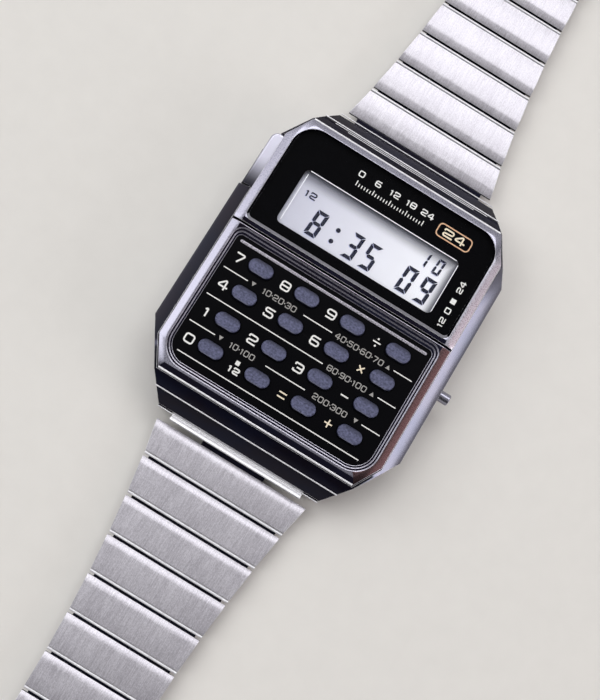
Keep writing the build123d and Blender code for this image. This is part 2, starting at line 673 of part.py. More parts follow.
def module_frame():
    """Moulded frame that holds the coin cell below and the board above."""
    frame = prism(cavity_outline(-FRAME_CLEARANCE), FRAME_BOTTOM_Z, BOARD_BOTTOM_Z)
    frame -= rod_z(0, CELL_Y, FRAME_BOTTOM_Z - OVERRUN, CELL_BOTTOM_Z + CELL_THICKNESS,
                   CELL_RADIUS + POCKET_CLEARANCE / 2)
    gap = BACK_CLEARANCE
    frame -= block(
        -CLIP_HALF_LENGTH - gap, CLIP_HALF_LENGTH + gap, CELL_Y - CLIP_WIDTH / 2 - gap,
        CELL_Y + CLIP_WIDTH / 2 + gap, FRAME_BOTTOM_Z - OVERRUN, CELL_BOTTOM_Z)
    chip_half = CHIP_SIZE / 2 + POCKET_CLEARANCE
    frame -= block(
        CHIP_X - chip_half, CHIP_X + chip_half, CHIP_Y - chip_half, CHIP_Y + chip_half,
        BOARD_BOTTOM_Z - CHIP_HEIGHT - POCKET_CLEARANCE, BOARD_BOTTOM_Z + OVERRUN)
    crystal_half = CRYSTAL_LENGTH / 2 + POCKET_CLEARANCE
    reach = CRYSTAL_RADIUS + POCKET_CLEARANCE
    frame -= block(
        CRYSTAL_X - crystal_half, CRYSTAL_X + crystal_half, CRYSTAL_Y - reach,
        CRYSTAL_Y + reach, BOARD_BOTTOM_Z - CRYSTAL_RADIUS - reach, BOARD_BOTTOM_Z + OVERRUN)
    notch = CLIP_RING_RADIUS + POCKET_CLEARANCE
    for side, y, z in ((-1, mode_stem_y(), MODE_STEM_Z), (1, ADJUST_Y, ADJUST_Z)):
        x0, x1 = sorted((side * (BOARD_HALF_WIDTH - LEAF_THICKNESS), side * CASE_HALF_WIDTH))
        frame -= block(x0, x1, y - notch, y + notch, z - notch, BOARD_BOTTOM_Z + OVERRUN)
    return frame


def coin_cell():
    """Lithium coin cell, 20 mm across and 1.6 mm thick."""
    can = rod_z(0, CELL_Y, CELL_BOTTOM_Z, CELL_BOTTOM_Z + CELL_THICKNESS - CELL_STEP,
                CELL_RADIUS)
    cap = rod_z(0, CELL_Y, CELL_BOTTOM_Z + CELL_THICKNESS - CELL_STEP,
                CELL_BOTTOM_Z + CELL_THICKNESS, CELL_RADIUS - CELL_RIM)
    return can + cap


def cell_clip():
    """Steel strap that keeps the cell in the frame."""
    return block(-CLIP_HALF_LENGTH, CLIP_HALF_LENGTH, CELL_Y - CLIP_WIDTH / 2,
                 CELL_Y + CLIP_WIDTH / 2, FRAME_BOTTOM_Z, CELL_BOTTOM_Z)


def piezo_disc():
    """Buzzer disc glued inside the case back."""
    return rod_z(0, BUZZER_Y, BACK_THICKNESS, BACK_THICKNESS + BUZZER_THICKNESS,
                 BUZZER_RADIUS)


def contact_leaves():
    """Two spring leaves on the board's edges that the button stems press."""
    leaves = []
    for side, y, z in ((-1, mode_stem_y(), MODE_STEM_Z), (1, ADJUST_Y, ADJUST_Z)):
        x0, x1 = sorted((side * BOARD_HALF_WIDTH, side * (BOARD_HALF_WIDTH + LEAF_THICKNESS)))
        leaves.append(block(
            x0, x1, y - LEAF_HALF_WIDTH, y + LEAF_HALF_WIDTH,
            min(BOARD_BOTTOM_Z, z - LEAF_HALF_WIDTH), BOARD_TOP_Z + LEAF_HALF_WIDTH / 2))
    return Compound(children=leaves)


def back_outline(grow):
    """Outline of the case back and of the recess that it sits in."""
    half_x = CAVITY_HALF_WIDTH + BACK_SIDE_LAP
    half_y = CAVITY_HALF_LENGTH + BACK_END_LAP
    return cut_corners(half_x + grow, half_y + grow, half_x - BACK_CORNER_X + grow / 2,
                       half_y - BACK_CORNER_Y + grow / 2)


def screw_places():
    """Centres of the four case back screws."""
    x = CAVITY_HALF_WIDTH - SCREW_SIDE_SETBACK
    y = CAVITY_HALF_LENGTH - SCREW_END_SETBACK
    return [(i * x, j * y) for i in (1, -1) for j in (1, -1)]


def case_back():
    """Steel back plate, held by four screws."""
    back = prism(back_outline(0), 0, BACK_THICKNESS)
    back = chamfer(back.edges().group_by(Axis.Z)[0], EDGE_BREAK)
    for x, y in screw_places():
        back -= rod_z(x, y, -OVERRUN, BACK_THICKNESS + OVERRUN,
                      SCREW_SHANK_RADIUS + THREAD_CLEARANCE)
        back -= rod_z(x, y, -OVERRUN, SCREW_HEAD_INSET + SCREW_HEAD_HEIGHT,
                      SCREW_HEAD_RADIUS + THREAD_CLEARANCE)
    return back


def gasket_ring(shrink):
    """The ring round the cavity that the gasket fills."""
    outer = prism(cavity_outline(GASKET_INSET + GASKET_WIDTH - shrink), BACK_THICKNESS,
                  BACK_THICKNESS + GASKET_HEIGHT)
    return outer - prism(cavity_outline(GASKET_INSET + shrink), BACK_THICKNESS - OVERRUN,
                         BACK_THICKNESS + GASKET_HEIGHT + OVERRUN)


def case_gasket():
    """Rubber gasket in a groove round the cavity, pressed by the case back."""
    return gasket_ring(SEAL_CLEARANCE)


def back_screws():
    """Four slotted screws, their heads sunk in the case back."""
    screws = []
    for x, y in screw_places():
        head_top = SCREW_HEAD_INSET + SCREW_HEAD_HEIGHT
        screw = rod_z(x, y, SCREW_HEAD_INSET, head_top, SCREW_HEAD_RADIUS)
        screw += rod_z(x, y, head_top, SCREW_HEAD_INSET + SCREW_LENGTH, SCREW_SHANK_RADIUS)
        screw -= block(
            x - SCREW_HEAD_RADIUS, x + SCREW_HEAD_RADIUS, y - SCREW_SLOT_WIDTH / 2,
            y + SCREW_SLOT_WIDTH / 2, -OVERRUN, SCREW_HEAD_INSET + SCREW_SLOT_DEPTH)
        screws.append(screw)
    return Compound(children=screws)


def spring_bars():
    """Two spring bars with thin tips, one at each end of the case."""
    bars = []
    for side in (1, -1):
        y = side * BAR_Y
        reach = TUBE_HALF_LENGTH + BAR_TIP_LENGTH
        bar = rod_x(-TUBE_HALF_LENGTH, TUBE_HALF_LENGTH, y, BAR_Z, BAR_RADIUS)
        bar += rod_x(-reach, reach, y, BAR_Z, BAR_TIP_RADIUS)
        bars.append(bar)
    return Compound(children=bars)


def button_seals():
    """Rubber ring round each button stem, inside the wall of the case."""
    rings = []
    for side, wall, y, z, radius in (
            (-1, mode_wall_x(), mode_stem_y(), MODE_STEM_Z, MODE_STEM_RADIUS),
            (1, adjust_wall_x(), ADJUST_Y, ADJUST_Z, ADJUST_STEM_RADIUS)):
        inner, outer = seal_span(wall)
        x0, x1 = sorted((side * inner, side * outer))
        ring = rod_x(x0 + SEAL_CLEARANCE, x1 - SEAL_CLEARANCE, y, z,
                     radius + SEAL_WALL - SEAL_CLEARANCE)
        rings.append(ring - rod_x(x0 - OVERRUN, x1 + OVERRUN, y, z, radius + SEAL_CLEARANCE))
    return Compound(children=rings)


def stem_with_ring(side, outer_x, y, z, radius, travel):
    """A button's stem and its retaining ring, as two solids."""
    tip_x = BOARD_HALF_WIDTH + LEAF_THICKNESS + travel + STEM_TIP_GAP
    ring_outer = CAVITY_HALF_WIDTH - CLIP_RING_GAP
    ring_inner = ring_outer - CLIP_RING_THICKNESS
    x0, x1 = sorted((side * tip_x, side * outer_x))
    stem = rod_x(x0, x1, y, z, radius)
    x0, x1 = sorted((side * ring_inner, side * ring_outer))
    ring = rod_x(x0, x1, y, z, CLIP_RING_RADIUS)
    groove = radius - FIT_CLEARANCE - STEM_CLEARANCE
    stem -= rod_x(x0, x1, y, z, radius + OVERRUN) - rod_x(x0 - OVERRUN, x1 + OVERRUN, y, z, groove)
    ring -= rod_x(x0 - OVERRUN, x1 + OVERRUN, y, z, groove)
    return stem, ring


def mode_button():
    """Wide button at the upper left, with its stem and retaining ring."""
    face = Polygon(
        (-MODE_INNER_X, MODE_Y0), (-MODE_INNER_X, MODE_Y1), (-MODE_OUTER_X, MODE_Y1),
        (-MODE_OUTER_X, MODE_Y0), align=None)
    upper_outer = face.vertices().group_by(Axis.Y)[-1].sort_by(Axis.X)[0]
    face = fillet(upper_outer, MODE_END_RADIUS)
    bar = Pos(0, 0, MODE_Z0) * extrude(face, MODE_Z1 - MODE_Z0)
    top_outer = [
        e for e in bar.edges().group_by(Axis.Z)[-1]
        if e.center().X < -(MODE_OUTER_X + MODE_INNER_X) / 2]
    bar = fillet(top_outer, MODE_EDGE)
    stem, ring = stem_with_ring(-1, MODE_INNER_X + MODE_EDGE, mode_stem_y(), MODE_STEM_Z,
                                MODE_STEM_RADIUS, MODE_TRAVEL)
    return Compound(children=[bar + stem, ring])


def adjust_button():
    """Small round button at the lower right, with its stem and retaining ring."""
    inner_x = CASE_HALF_WIDTH - ADJUST_SUNK
    outer_x = CASE_HALF_WIDTH + ADJUST_PROUD
    cap = rod_x(inner_x, outer_x, ADJUST_Y, ADJUST_Z, ADJUST_RADIUS)
    cap = fillet(cap.edges().group_by(Axis.X)[-1], EDGE_BREAK)
    stem, ring = stem_with_ring(1, inner_x + ADJUST_SUNK, ADJUST_Y, ADJUST_Z,
                                ADJUST_STEM_RADIUS, ADJUST_TRAVEL)
    return Compound(children=[cap + stem, ring])


def strap_half_width(pin):
    """Half the strap's width at a pin, counted outwards from the case."""
    left = max(0, TAPERED_LINKS - pin) / TAPERED_LINKS
    return STRAP_END_HALF_WIDTH + (STRAP_START_HALF_WIDTH - STRAP_END_HALF_WIDTH) * left ** 2


def pin_distance(pin):
    """Distance of a link pin from the middle of the case."""
    return FIRST_PIN_Y + (pin - 1) * LINK_PITCH


def knuckle_split(pin):
    """Where the middle knuckle on a pin ends and the side knuckles begin."""
    return strap_half_width(pin) * KNUCKLE_SHARE


def plate_section(s0, s1, lead):
    """Side view of a link's plate: drawn-down lead, sloped top, groove and bead."""
    top = LINK_TOP_Z
    low = top - LINK_PLATE_THICKNESS
    rear = top - LINK_SLOPE_DROP
    bead0 = s1 - BEAD_WIDTH
    groove0 = bead0 - BEAD_GROOVE_WIDTH
    half_bead = BEAD_WIDTH / 2
    outline = Polyline(
        (s0, top - LINK_LEAD_DROP), (s0, low), (s1, low), (s1, rear - half_bead - BEAD_DROP))
    outline += ThreePointArc((s1, rear - half_bead - BEAD_DROP), (s1 - half_bead, rear - BEAD_DROP),
                             (bead0, rear - half_bead - BEAD_DROP))
    outline += Polyline(
        (bead0, rear - half_bead - BEAD_DROP), (bead0, rear - BEAD_GROOVE_DEPTH - BEAD_DROP),
        (groove0, rear - BEAD_GROOVE_DEPTH - BEAD_DROP), (groove0, rear))
    crown = ((groove0 + s0 + lead) / 2, (rear + top) / 2 + LINK_CROWN)
    outline += ThreePointArc((groove0, rear), crown, (s0 + lead, top))
    lead_radius = (lead ** 2 + LINK_LEAD_DROP ** 2) / (2 * LINK_LEAD_DROP)
    outline += RadiusArc((s0 + lead, top), (s0, top - LINK_LEAD_DROP), -lead_radius)
    return make_face(outline)


def side_section(face, half_width):
    """A section drawn along the strap and upwards, pushed out across the strap."""
    return extrude(Plane.YZ * face, half_width, both=True)


def barrel(x0, x1, s, neck_s, radius=BARREL_RADIUS, z=BARREL_Z):
    """A hinge knuckle round a pin, with the neck that joins it to its link."""
    s_low, s_high = sorted((s, neck_s))
    return rod_x(x0, x1, s, z, radius) + block(x0, x1, s_low, s_high, z - radius, z + radius)


def near_knuckles(pin, s, neck_s):
    """The two side knuckles of the piece that hangs on a pin."""
    inner = knuckle_split(pin) + KNUCKLE_GAP / 2
    outer = strap_half_width(pin) - LINK_SIDE_MARGIN
    return barrel(inner, outer, s, neck_s) + barrel(-outer, -inner, s, neck_s)


def far_knuckle(pin, s, neck_s):
    """The middle knuckle that a link gives to the next piece."""
    half = knuckle_split(pin) - KNUCKLE_GAP / 2
    return barrel(-half, half, s, neck_s)


def pin_bore(pin, s, clearance):
    """The pin, or with a clearance the bore that it turns in."""
    half = strap_half_width(pin) - LINK_SIDE_MARGIN + clearance
    return rod_x(-half, half, s, BARREL_Z, PIN_RADIUS + clearance)


def folded_lip(near):
    """Edge of the sheet that is folded round a spring bar and ends beside its tube."""
    root = near + LIP_START
    tip = near + TUBE_RADIUS
    root_z = BAR_Z + TUBE_RADIUS - LIP_SINK
    top = root_z + LIP_RISE
    outline = Polyline((root, BAR_Z), (root, root_z), (tip - LIP_EDGE, top),
                       (tip, top - LIP_EDGE), (tip, BAR_Z), close=True)
    return side_section(make_face(outline), TUBE_HALF_LENGTH)


def link(number):
    """One link on the upper strap, with the pin at its far end as a second solid."""
    far = pin_distance(number)
    first = number == 1
    near = BAR_Y if first else pin_distance(number - 1)
    plate0 = FIRST_PLATE_Y if first else near + LINK_GAP / 2
    plate1 = far - LINK_GAP / 2
    web = BARREL_RADIUS + BARREL_CLEARANCE
    wide = STRAP_START_HALF_WIDTH + OVERRUN
    lead = FIRST_LEAD_LENGTH if first else LINK_LEAD_LENGTH
    solid = side_section(plate_section(plate0, plate1, lead), wide)
    half0 = STRAP_START_HALF_WIDTH if first else strap_half_width(number - 1)
    half1 = strap_half_width(number)
    solid &= prism([(half0, plate0), (half1, plate1), (-half1, plate1), (-half0, plate0)],
                   0, LINK_TOP_Z + OVERRUN)
    web_low = BARREL_Z - BARREL_RADIUS
    web_half = min(half0, half1) - LINK_SIDE_MARGIN
    if first:
        solid += block(-TONGUE_HALF_WIDTH, TONGUE_HALF_WIDTH, near, plate0 + LINK_GAP,
                       BAR_Z - TUBE_RADIUS, LINK_TOP_Z - LINK_PLATE_THICKNESS)
        solid += block(-web_half, web_half, plate0 + LINK_GAP, far - web, web_low,
                       LINK_TOP_Z - LINK_PLATE_THICKNESS)
        solid += rod_x(-TUBE_HALF_LENGTH, TUBE_HALF_LENGTH, near, BAR_Z, TUBE_RADIUS)
        solid += folded_lip(near)
        solid -= rod_x(-CASE_HALF_WIDTH, CASE_HALF_WIDTH, near, BAR_Z,
                       BAR_RADIUS + PIN_CLEARANCE)
    else:
        solid += block(-web_half, web_half, near + web, far - web, web_low,
                       LINK_TOP_Z - LINK_PLATE_THICKNESS)
        solid += near_knuckles(number - 1, near, near + web)
        solid -= pin_bore(number - 1, near, PIN_CLEARANCE)
    solid += far_knuckle(number, far, far - web)
    solid -= pin_bore(number, far, 0)
    return Compound(children=[solid, pin_bore(number, far, 0)])


def lower(piece):
    """The same piece on the other strap, half a turn round the case."""
    return Rot(0, 0, 180) * piece


def cover_roof_z():
    """Top of the clasp cover, a little above the links."""
    return LINK_TOP_Z + COVER_CROWN / 2


def clasp_cover():
    """Fold-over cover: a shallow channel that hangs on the last link."""
    near = pin_distance(LOWER_LINKS)
    s0 = near + LINK_GAP
    s1 = near + COVER_LENGTH
    low = BARREL_Z - BARREL_RADIUS
    top = cover_roof_z()
    cover = block(-COVER_HALF_WIDTH, COVER_HALF_WIDTH, s0, s1, low, top)
    cover = fillet(cover.edges().filter_by(Axis.Y).group_by(Axis.Z)[-1], COVER_CROWN)
    cover = fillet(cover.edges().filter_by(Axis.Z), COVER_CROWN)
    inner = COVER_HALF_WIDTH - COVER_WALL
    cover -= block(-inner, inner, s0 - OVERRUN, s1 - COVER_WALL, low - OVERRUN,
                   top - COVER_ROOF)
    web = BARREL_RADIUS + BARREL_CLEARANCE
    half = strap_half_width(LOWER_LINKS) - LINK_SIDE_MARGIN
    cover += block(-half, half, near + web, near + 2 * web, BARREL_Z - BARREL_RADIUS,
                   top - COVER_ROOF)
    cover += near_knuckles(LOWER_LINKS, near, near + web)
    cover -= pin_bore(LOWER_LINKS, near, PIN_CLEARANCE)
    hinge = blade_hinge_s()
    cover -= block(-inner, inner, hinge, s1 + OVERRUN, low - OVERRUN,
                   BARREL_Z + BARREL_RADIUS)
    cover -= rod_x(-inner - COVER_WALL / 2, inner + COVER_WALL / 2, hinge, BARREL_Z,
                   PIN_RADIUS + PIN_CLEARANCE)
    return cover


def blade_hinge_s():
    """Distance of the blade's hinge from the middle of the case."""
    return pin_distance(LOWER_LINKS) + COVER_LENGTH - BLADE_HINGE_BACK


def clasp_blade():
    """Blade that folds shut inside the cover, with its pin and its lock's pin."""
    hinge = blade_hinge_s()
    s0 = pin_distance(LOWER_LINKS) + BLADE_START
    z0 = BLADE_Z - BLADE_THICKNESS / 2
    half = BLADE_HALF_WIDTH
    blade = block(-half, half, s0, hinge, z0, z0 + BLADE_THICKNESS)
    blade += rod_x(-half, half, hinge, BARREL_Z, BARREL_RADIUS)
    blade += rod_x(-half, half, s0, BLADE_Z, BLADE_BAR_RADIUS)
    lock_s = lock_hinge_s()
    first_window = lock_s + LOCK_LENGTH
    room = (hinge - BARREL_RADIUS - first_window) / BLADE_WINDOWS
    window = RectangleRounded(BLADE_WINDOW_WIDTH, BLADE_WINDOW_LENGTH, COVER_CROWN)
    for index in range(BLADE_WINDOWS):
        middle = first_window + (index + 1 / 2) * room
        blade -= Pos(0, middle, z0 - OVERRUN) * extrude(window, 2 * OVERRUN)
    for hand in (1, -1):
        x0, x1 = sorted((hand * (LOCK_HALF_WIDTH + KNUCKLE_GAP), hand * half))
        blade += block(x0, x1, lock_s - BLADE_BAR_RADIUS, lock_s + BLADE_BAR_RADIUS,
                       LOCK_Z - LOCK_BARREL_RADIUS, BLADE_Z)
    blade -= lock_pin(0)
    blade -= rod_x(-half - OVERRUN, half + OVERRUN, hinge, BARREL_Z, PIN_RADIUS)
    reach = COVER_HALF_WIDTH - COVER_WALL / 2 - PIN_CLEARANCE
    pin = rod_x(-reach, reach, hinge, BARREL_Z, PIN_RADIUS)
    return Compound(children=[blade, pin, lock_pin(0)])


def lock_hinge_s():
    """Distance of the lock's hinge from the middle of the case."""
    return pin_distance(LOWER_LINKS) + BLADE_START + LOCK_BACK


def lock_pin(clearance):
    """Pin of the lock flap, or with a clearance its bore."""
    reach = BLADE_HALF_WIDTH - COVER_WALL
    return rod_x(-reach, reach, lock_hinge_s(), LOCK_Z, LOCK_PIN_RADIUS + clearance)


def clasp_lock():
    """Flap under the blade that clamps the ladder tail."""
    s = lock_hinge_s()
    half_thick = LOCK_THICKNESS / 2
    flap = block(-LOCK_HALF_WIDTH, LOCK_HALF_WIDTH, s, s + LOCK_LENGTH - LINK_GAP,
                 LOCK_Z - half_thick, LOCK_Z + half_thick)
    flap += rod_x(-LOCK_HALF_WIDTH, LOCK_HALF_WIDTH, s, LOCK_Z, LOCK_BARREL_RADIUS)
    return flap - lock_pin(PIN_CLEARANCE)


def ladder_tail():
    """Long end piece with cross slots that the clasp grips."""
    near = pin_distance(UPPER_LINKS)
    web = BARREL_RADIUS + BARREL_CLEARANCE
    s0 = near + LINK_GAP / 2
    s1 = near + TAIL_LENGTH
    low = BARREL_Z - BARREL_RADIUS
    tail = block(-TAIL_HALF_WIDTH, TAIL_HALF_WIDTH, s0, s1, low, LINK_TOP_Z)
    far_corners = tail.edges().filter_by(Axis.Z).group_by(Axis.Y)[-1]
    tail = fillet(far_corners, TAIL_CORNER)
    tail = chamfer(tail.edges().filter_by(Axis.Y).group_by(Axis.Z)[-1], EDGE_BREAK)
    inner = TAIL_HALF_WIDTH - TAIL_RAIL_WIDTH
    tail -= block(-inner, inner, near + 2 * web, s1 - TAIL_RAIL_WIDTH, low - OVERRUN,
                  LINK_TOP_Z - TAIL_THICKNESS)
    tail -= block(-CASE_HALF_WIDTH, CASE_HALF_WIDTH, near - OVERRUN, near + web,
                  low - OVERRUN, LINK_TOP_Z - LINK_PLATE_THICKNESS)
    for index in range(TAIL_SLOTS):
        s = near + TAIL_SLOT_START + index * TAIL_SLOT_PITCH
        tail -= oblong(0, s, 2 * TAIL_SLOT_HALF_LENGTH, TAIL_SLOT_WIDTH, low - OVERRUN,
                       LINK_TOP_Z + OVERRUN)
    tail += near_knuckles(UPPER_LINKS, near, near + web)
    tail -= pin_bore(UPPER_LINKS, near, PIN_CLEARANCE)
    return tail


def all_pieces():
    """Every piece of the watch by its node name."""
    pieces = {
        "case_body": case_body(),
        "display_bezel": display_bezel(),
        "keypad_bezel": keypad_bezel(),
        "window_glass": window_glass(),
        "window_mask": window_mask(),
        "lcd_cell": lcd_cell(),
        "elastomer_strips": elastomer_strips(),
        "module_frame": module_frame(),
        "circuit_board": circuit_board(),
        "driver_chip": driver_chip(),
        "quartz_crystal": quartz_crystal(),
        "coin_cell": coin_cell(),
        "cell_clip": cell_clip(),
        "piezo_disc": piezo_disc(),
        "contact_leaves": contact_leaves(),
        "keypad_plate": keypad_plate(),
        "keypad_trim_bar": keypad_trim_bar(),
        "keypad_mat": keypad_mat(),
        "case_gasket": case_gasket(),
        "case_back": case_back(),
        "back_screws": back_screws(),
        "spring_bars": spring_bars(),
        "button_seals": button_seals(),
        "mode_button": mode_button(),
        "adjust_button": adjust_button(),
        "ladder_tail": ladder_tail(),
        "clasp_cover": lower(clasp_cover()),
        "clasp_blade": lower(clasp_blade()),
        "clasp_lock": lower(clasp_lock()),
    }
    for name, (x, y) in key_places().items():
        pieces[name] = key_cap(x, y)
    for number in range(1, UPPER_LINKS + 1):
        pieces[f"upper_link_{number}"] = link(number)
    for number in range(1, LOWER_LINKS + 1):
        pieces[f"lower_link_{number}"] = lower(link(number))
    return pieces


os.makedirs("parts", exist_ok=True)
for name, piece in all_pieces().items():
    export_step(piece, os.path.join("parts", name + ".step"))
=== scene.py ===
"""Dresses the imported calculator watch: finishes, prints, display, stage and camera."""
import json
from math import copysign, cos, pi, radians, sin, tan

import bmesh
import bpy
from bpy.props import (FloatProperty, FloatVectorProperty, IntProperty, PointerProperty,
                       StringProperty)
from mathutils import Matrix, Vector


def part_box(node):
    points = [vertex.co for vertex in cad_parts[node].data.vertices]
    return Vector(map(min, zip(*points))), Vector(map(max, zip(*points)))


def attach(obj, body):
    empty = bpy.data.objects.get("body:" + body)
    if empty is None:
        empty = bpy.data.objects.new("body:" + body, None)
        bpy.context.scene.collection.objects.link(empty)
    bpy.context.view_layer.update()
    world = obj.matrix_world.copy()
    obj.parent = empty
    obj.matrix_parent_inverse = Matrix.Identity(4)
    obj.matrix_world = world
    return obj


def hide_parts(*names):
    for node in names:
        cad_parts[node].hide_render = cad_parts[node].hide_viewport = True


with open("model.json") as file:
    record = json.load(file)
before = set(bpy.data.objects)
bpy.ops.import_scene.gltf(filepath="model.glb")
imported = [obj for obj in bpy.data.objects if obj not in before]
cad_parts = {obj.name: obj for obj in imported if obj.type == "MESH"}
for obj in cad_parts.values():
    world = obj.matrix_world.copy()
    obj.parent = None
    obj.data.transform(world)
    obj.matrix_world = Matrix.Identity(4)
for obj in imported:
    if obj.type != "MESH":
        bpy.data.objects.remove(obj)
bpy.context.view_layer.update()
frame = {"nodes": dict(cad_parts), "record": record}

bl_info = {
    "name": "Calculator watch",
    "version": (1, 0, 0),
    "blender": (4, 5, 0),
    "location": "3D View > Sidebar > Watch",
    "description": "Finishes, prints, display and studio for a calculator watch",
    "category": "Object",
}

MM = 0.001
WALL_COLOUR = "#dcdad6"
NODES = frame["nodes"]
RECORD = frame["record"]

KEY_NAMES = [f"key_{digit}" for digit in range(10)] + [
    "key_point", "key_equals", "key_plus", "key_minus", "key_times", "key_divide"]
LINK_NAMES = [node for side in ("upper_link_", "lower_link_") for node in sorted(NODES)
              if node.startswith(side)]

# The display's opening in the mask, in mm: left, right, low and high edge
APERTURE = (-11.4, 11.4, 4.75, 12.65)


# Colours and shader nodes

SMOOTH = {"interpolation_type": "SMOOTHSTEP"}
COLOURS = {"data_type": "RGBA"}
FIRST, SECOND, MIXED = 6, 7, 2  # the colour sockets of a Mix node and of its result


def linear(code):
    """Linear RGBA from an sRGB hex code."""
    channels = [int(code[i:i + 2], 16) / 255 for i in (1, 3, 5)]
    return [c / 12.92 if c <= 0.04045 else ((c + 0.055) / 1.055) ** 2.4 for c in channels] + [1.0]


def feed(node, inputs):
    """Gives each input its value, a hex code as a colour and a socket as a link."""
    for name, value in dict(inputs).items():
        if isinstance(value, bpy.types.NodeSocket):
            node.id_data.links.new(value, node.inputs[name])
        else:
            node.inputs[name].default_value = linear(value) if isinstance(value, str) else value


def put(tree, kind, inputs=(), **settings):
    """Adds a node with its settings and its inputs."""
    node = tree.nodes.new(f"ShaderNode{kind}")
    for name, value in settings.items():
        setattr(node, name, value)
    feed(node, inputs)
    return node


def over(value, start, end, low=0.0, high=1.0):
    """Inputs that turn a span of a value into another."""
    return {"Value": value, "From Min": start, "From Max": end, "To Min": low, "To Max": high}


def place_on_piece(tree):
    """The Object coordinates as X, Y and Z."""
    where = put(tree, "TexCoord").outputs["Object"]
    return put(tree, "SeparateXYZ", {"Vector": where}).outputs


def grain(tree, grain_mm, detail=3.0):
    """Noise on Object coordinates whose grains have these real sizes, even or along X, Y, Z."""
    sizes = (grain_mm,) * 3 if isinstance(grain_mm, float) else grain_mm
    where = put(tree, "TexCoord").outputs["Object"]
    scaled = put(tree, "Mapping", {"Vector": where, "Scale": [1 / (s * MM) for s in sizes]},
                 vector_type="POINT").outputs["Vector"]
    return put(tree, "TexNoise", {"Vector": scaled, "Scale": 1.0, "Detail": detail,
                                  "Roughness": 0.55}).outputs["Fac"]


def new_material(name, grain_mm, relief=None, inputs=(), detail=3.0):
    """A material with its shader, its grain and, from a depth in mm and a strength, its relief."""
    material = bpy.data.materials.new(name)
    material.use_nodes = True
    tree = material.node_tree
    tree.nodes.clear()
    shader = put(tree, "BsdfPrincipled", inputs)
    put(tree, "OutputMaterial", {"Surface": shader.outputs["BSDF"]})
    value = grain(tree, grain_mm, detail)
    if relief:
        bump = put(tree, "Bump", {
            "Strength": relief[1], "Distance": relief[0] * MM, "Height": value})
        feed(shader, {"Normal": bump.outputs["Normal"]})
    return material, tree, shader, value


def show_by_share(tree, share, shader, other):
    """Shows another shader in place of the material's own, by a share."""
    mix = put(tree, "MixShader", {0: share, 1: shader.outputs["BSDF"], 2: other})
    feed(tree.nodes["Material Output"], {"Surface": mix.outputs["Shader"]})


def tint(tree, shader, value, dark, light, roughness, colour_span=(0.3, 0.7),
         rough_span=(0.3, 0.7)):
    """Lets colour and roughness follow the useful span of a grain, and returns the colour."""
    share = put(tree, "MapRange", over(value, *colour_span)).outputs["Result"]
    rough = put(tree, "MapRange", over(value, *rough_span, *roughness)).outputs["Result"]
    colour = put(tree, "Mix", {0: share, FIRST: dark, SECOND: light}, **COLOURS).outputs[MIXED]
    feed(shader, {"Base Color": colour, "Roughness": rough})
    return colour


# Finishes, each from the real material and how its surface was made, except where a comment
# says that light or shade is painted into its colour. Those in this table have one grain: dark
# and light colour, metallic, roughness from and to, grain in mm (even, or along X, Y and Z),
# depth of the relief in mm and its strength, then specular level and coat.

BUFFED = (0.9, (0.07, 0.14), (9.0, 12.0, 6.0), 0.002, 0.2)
BLASTED = (1.0, (0.24, 0.34), 0.12, 0.003, 0.12)
PAD_PRINTED = (0.0, (0.4, 0.55), 0.2, 0.002, 0.3)

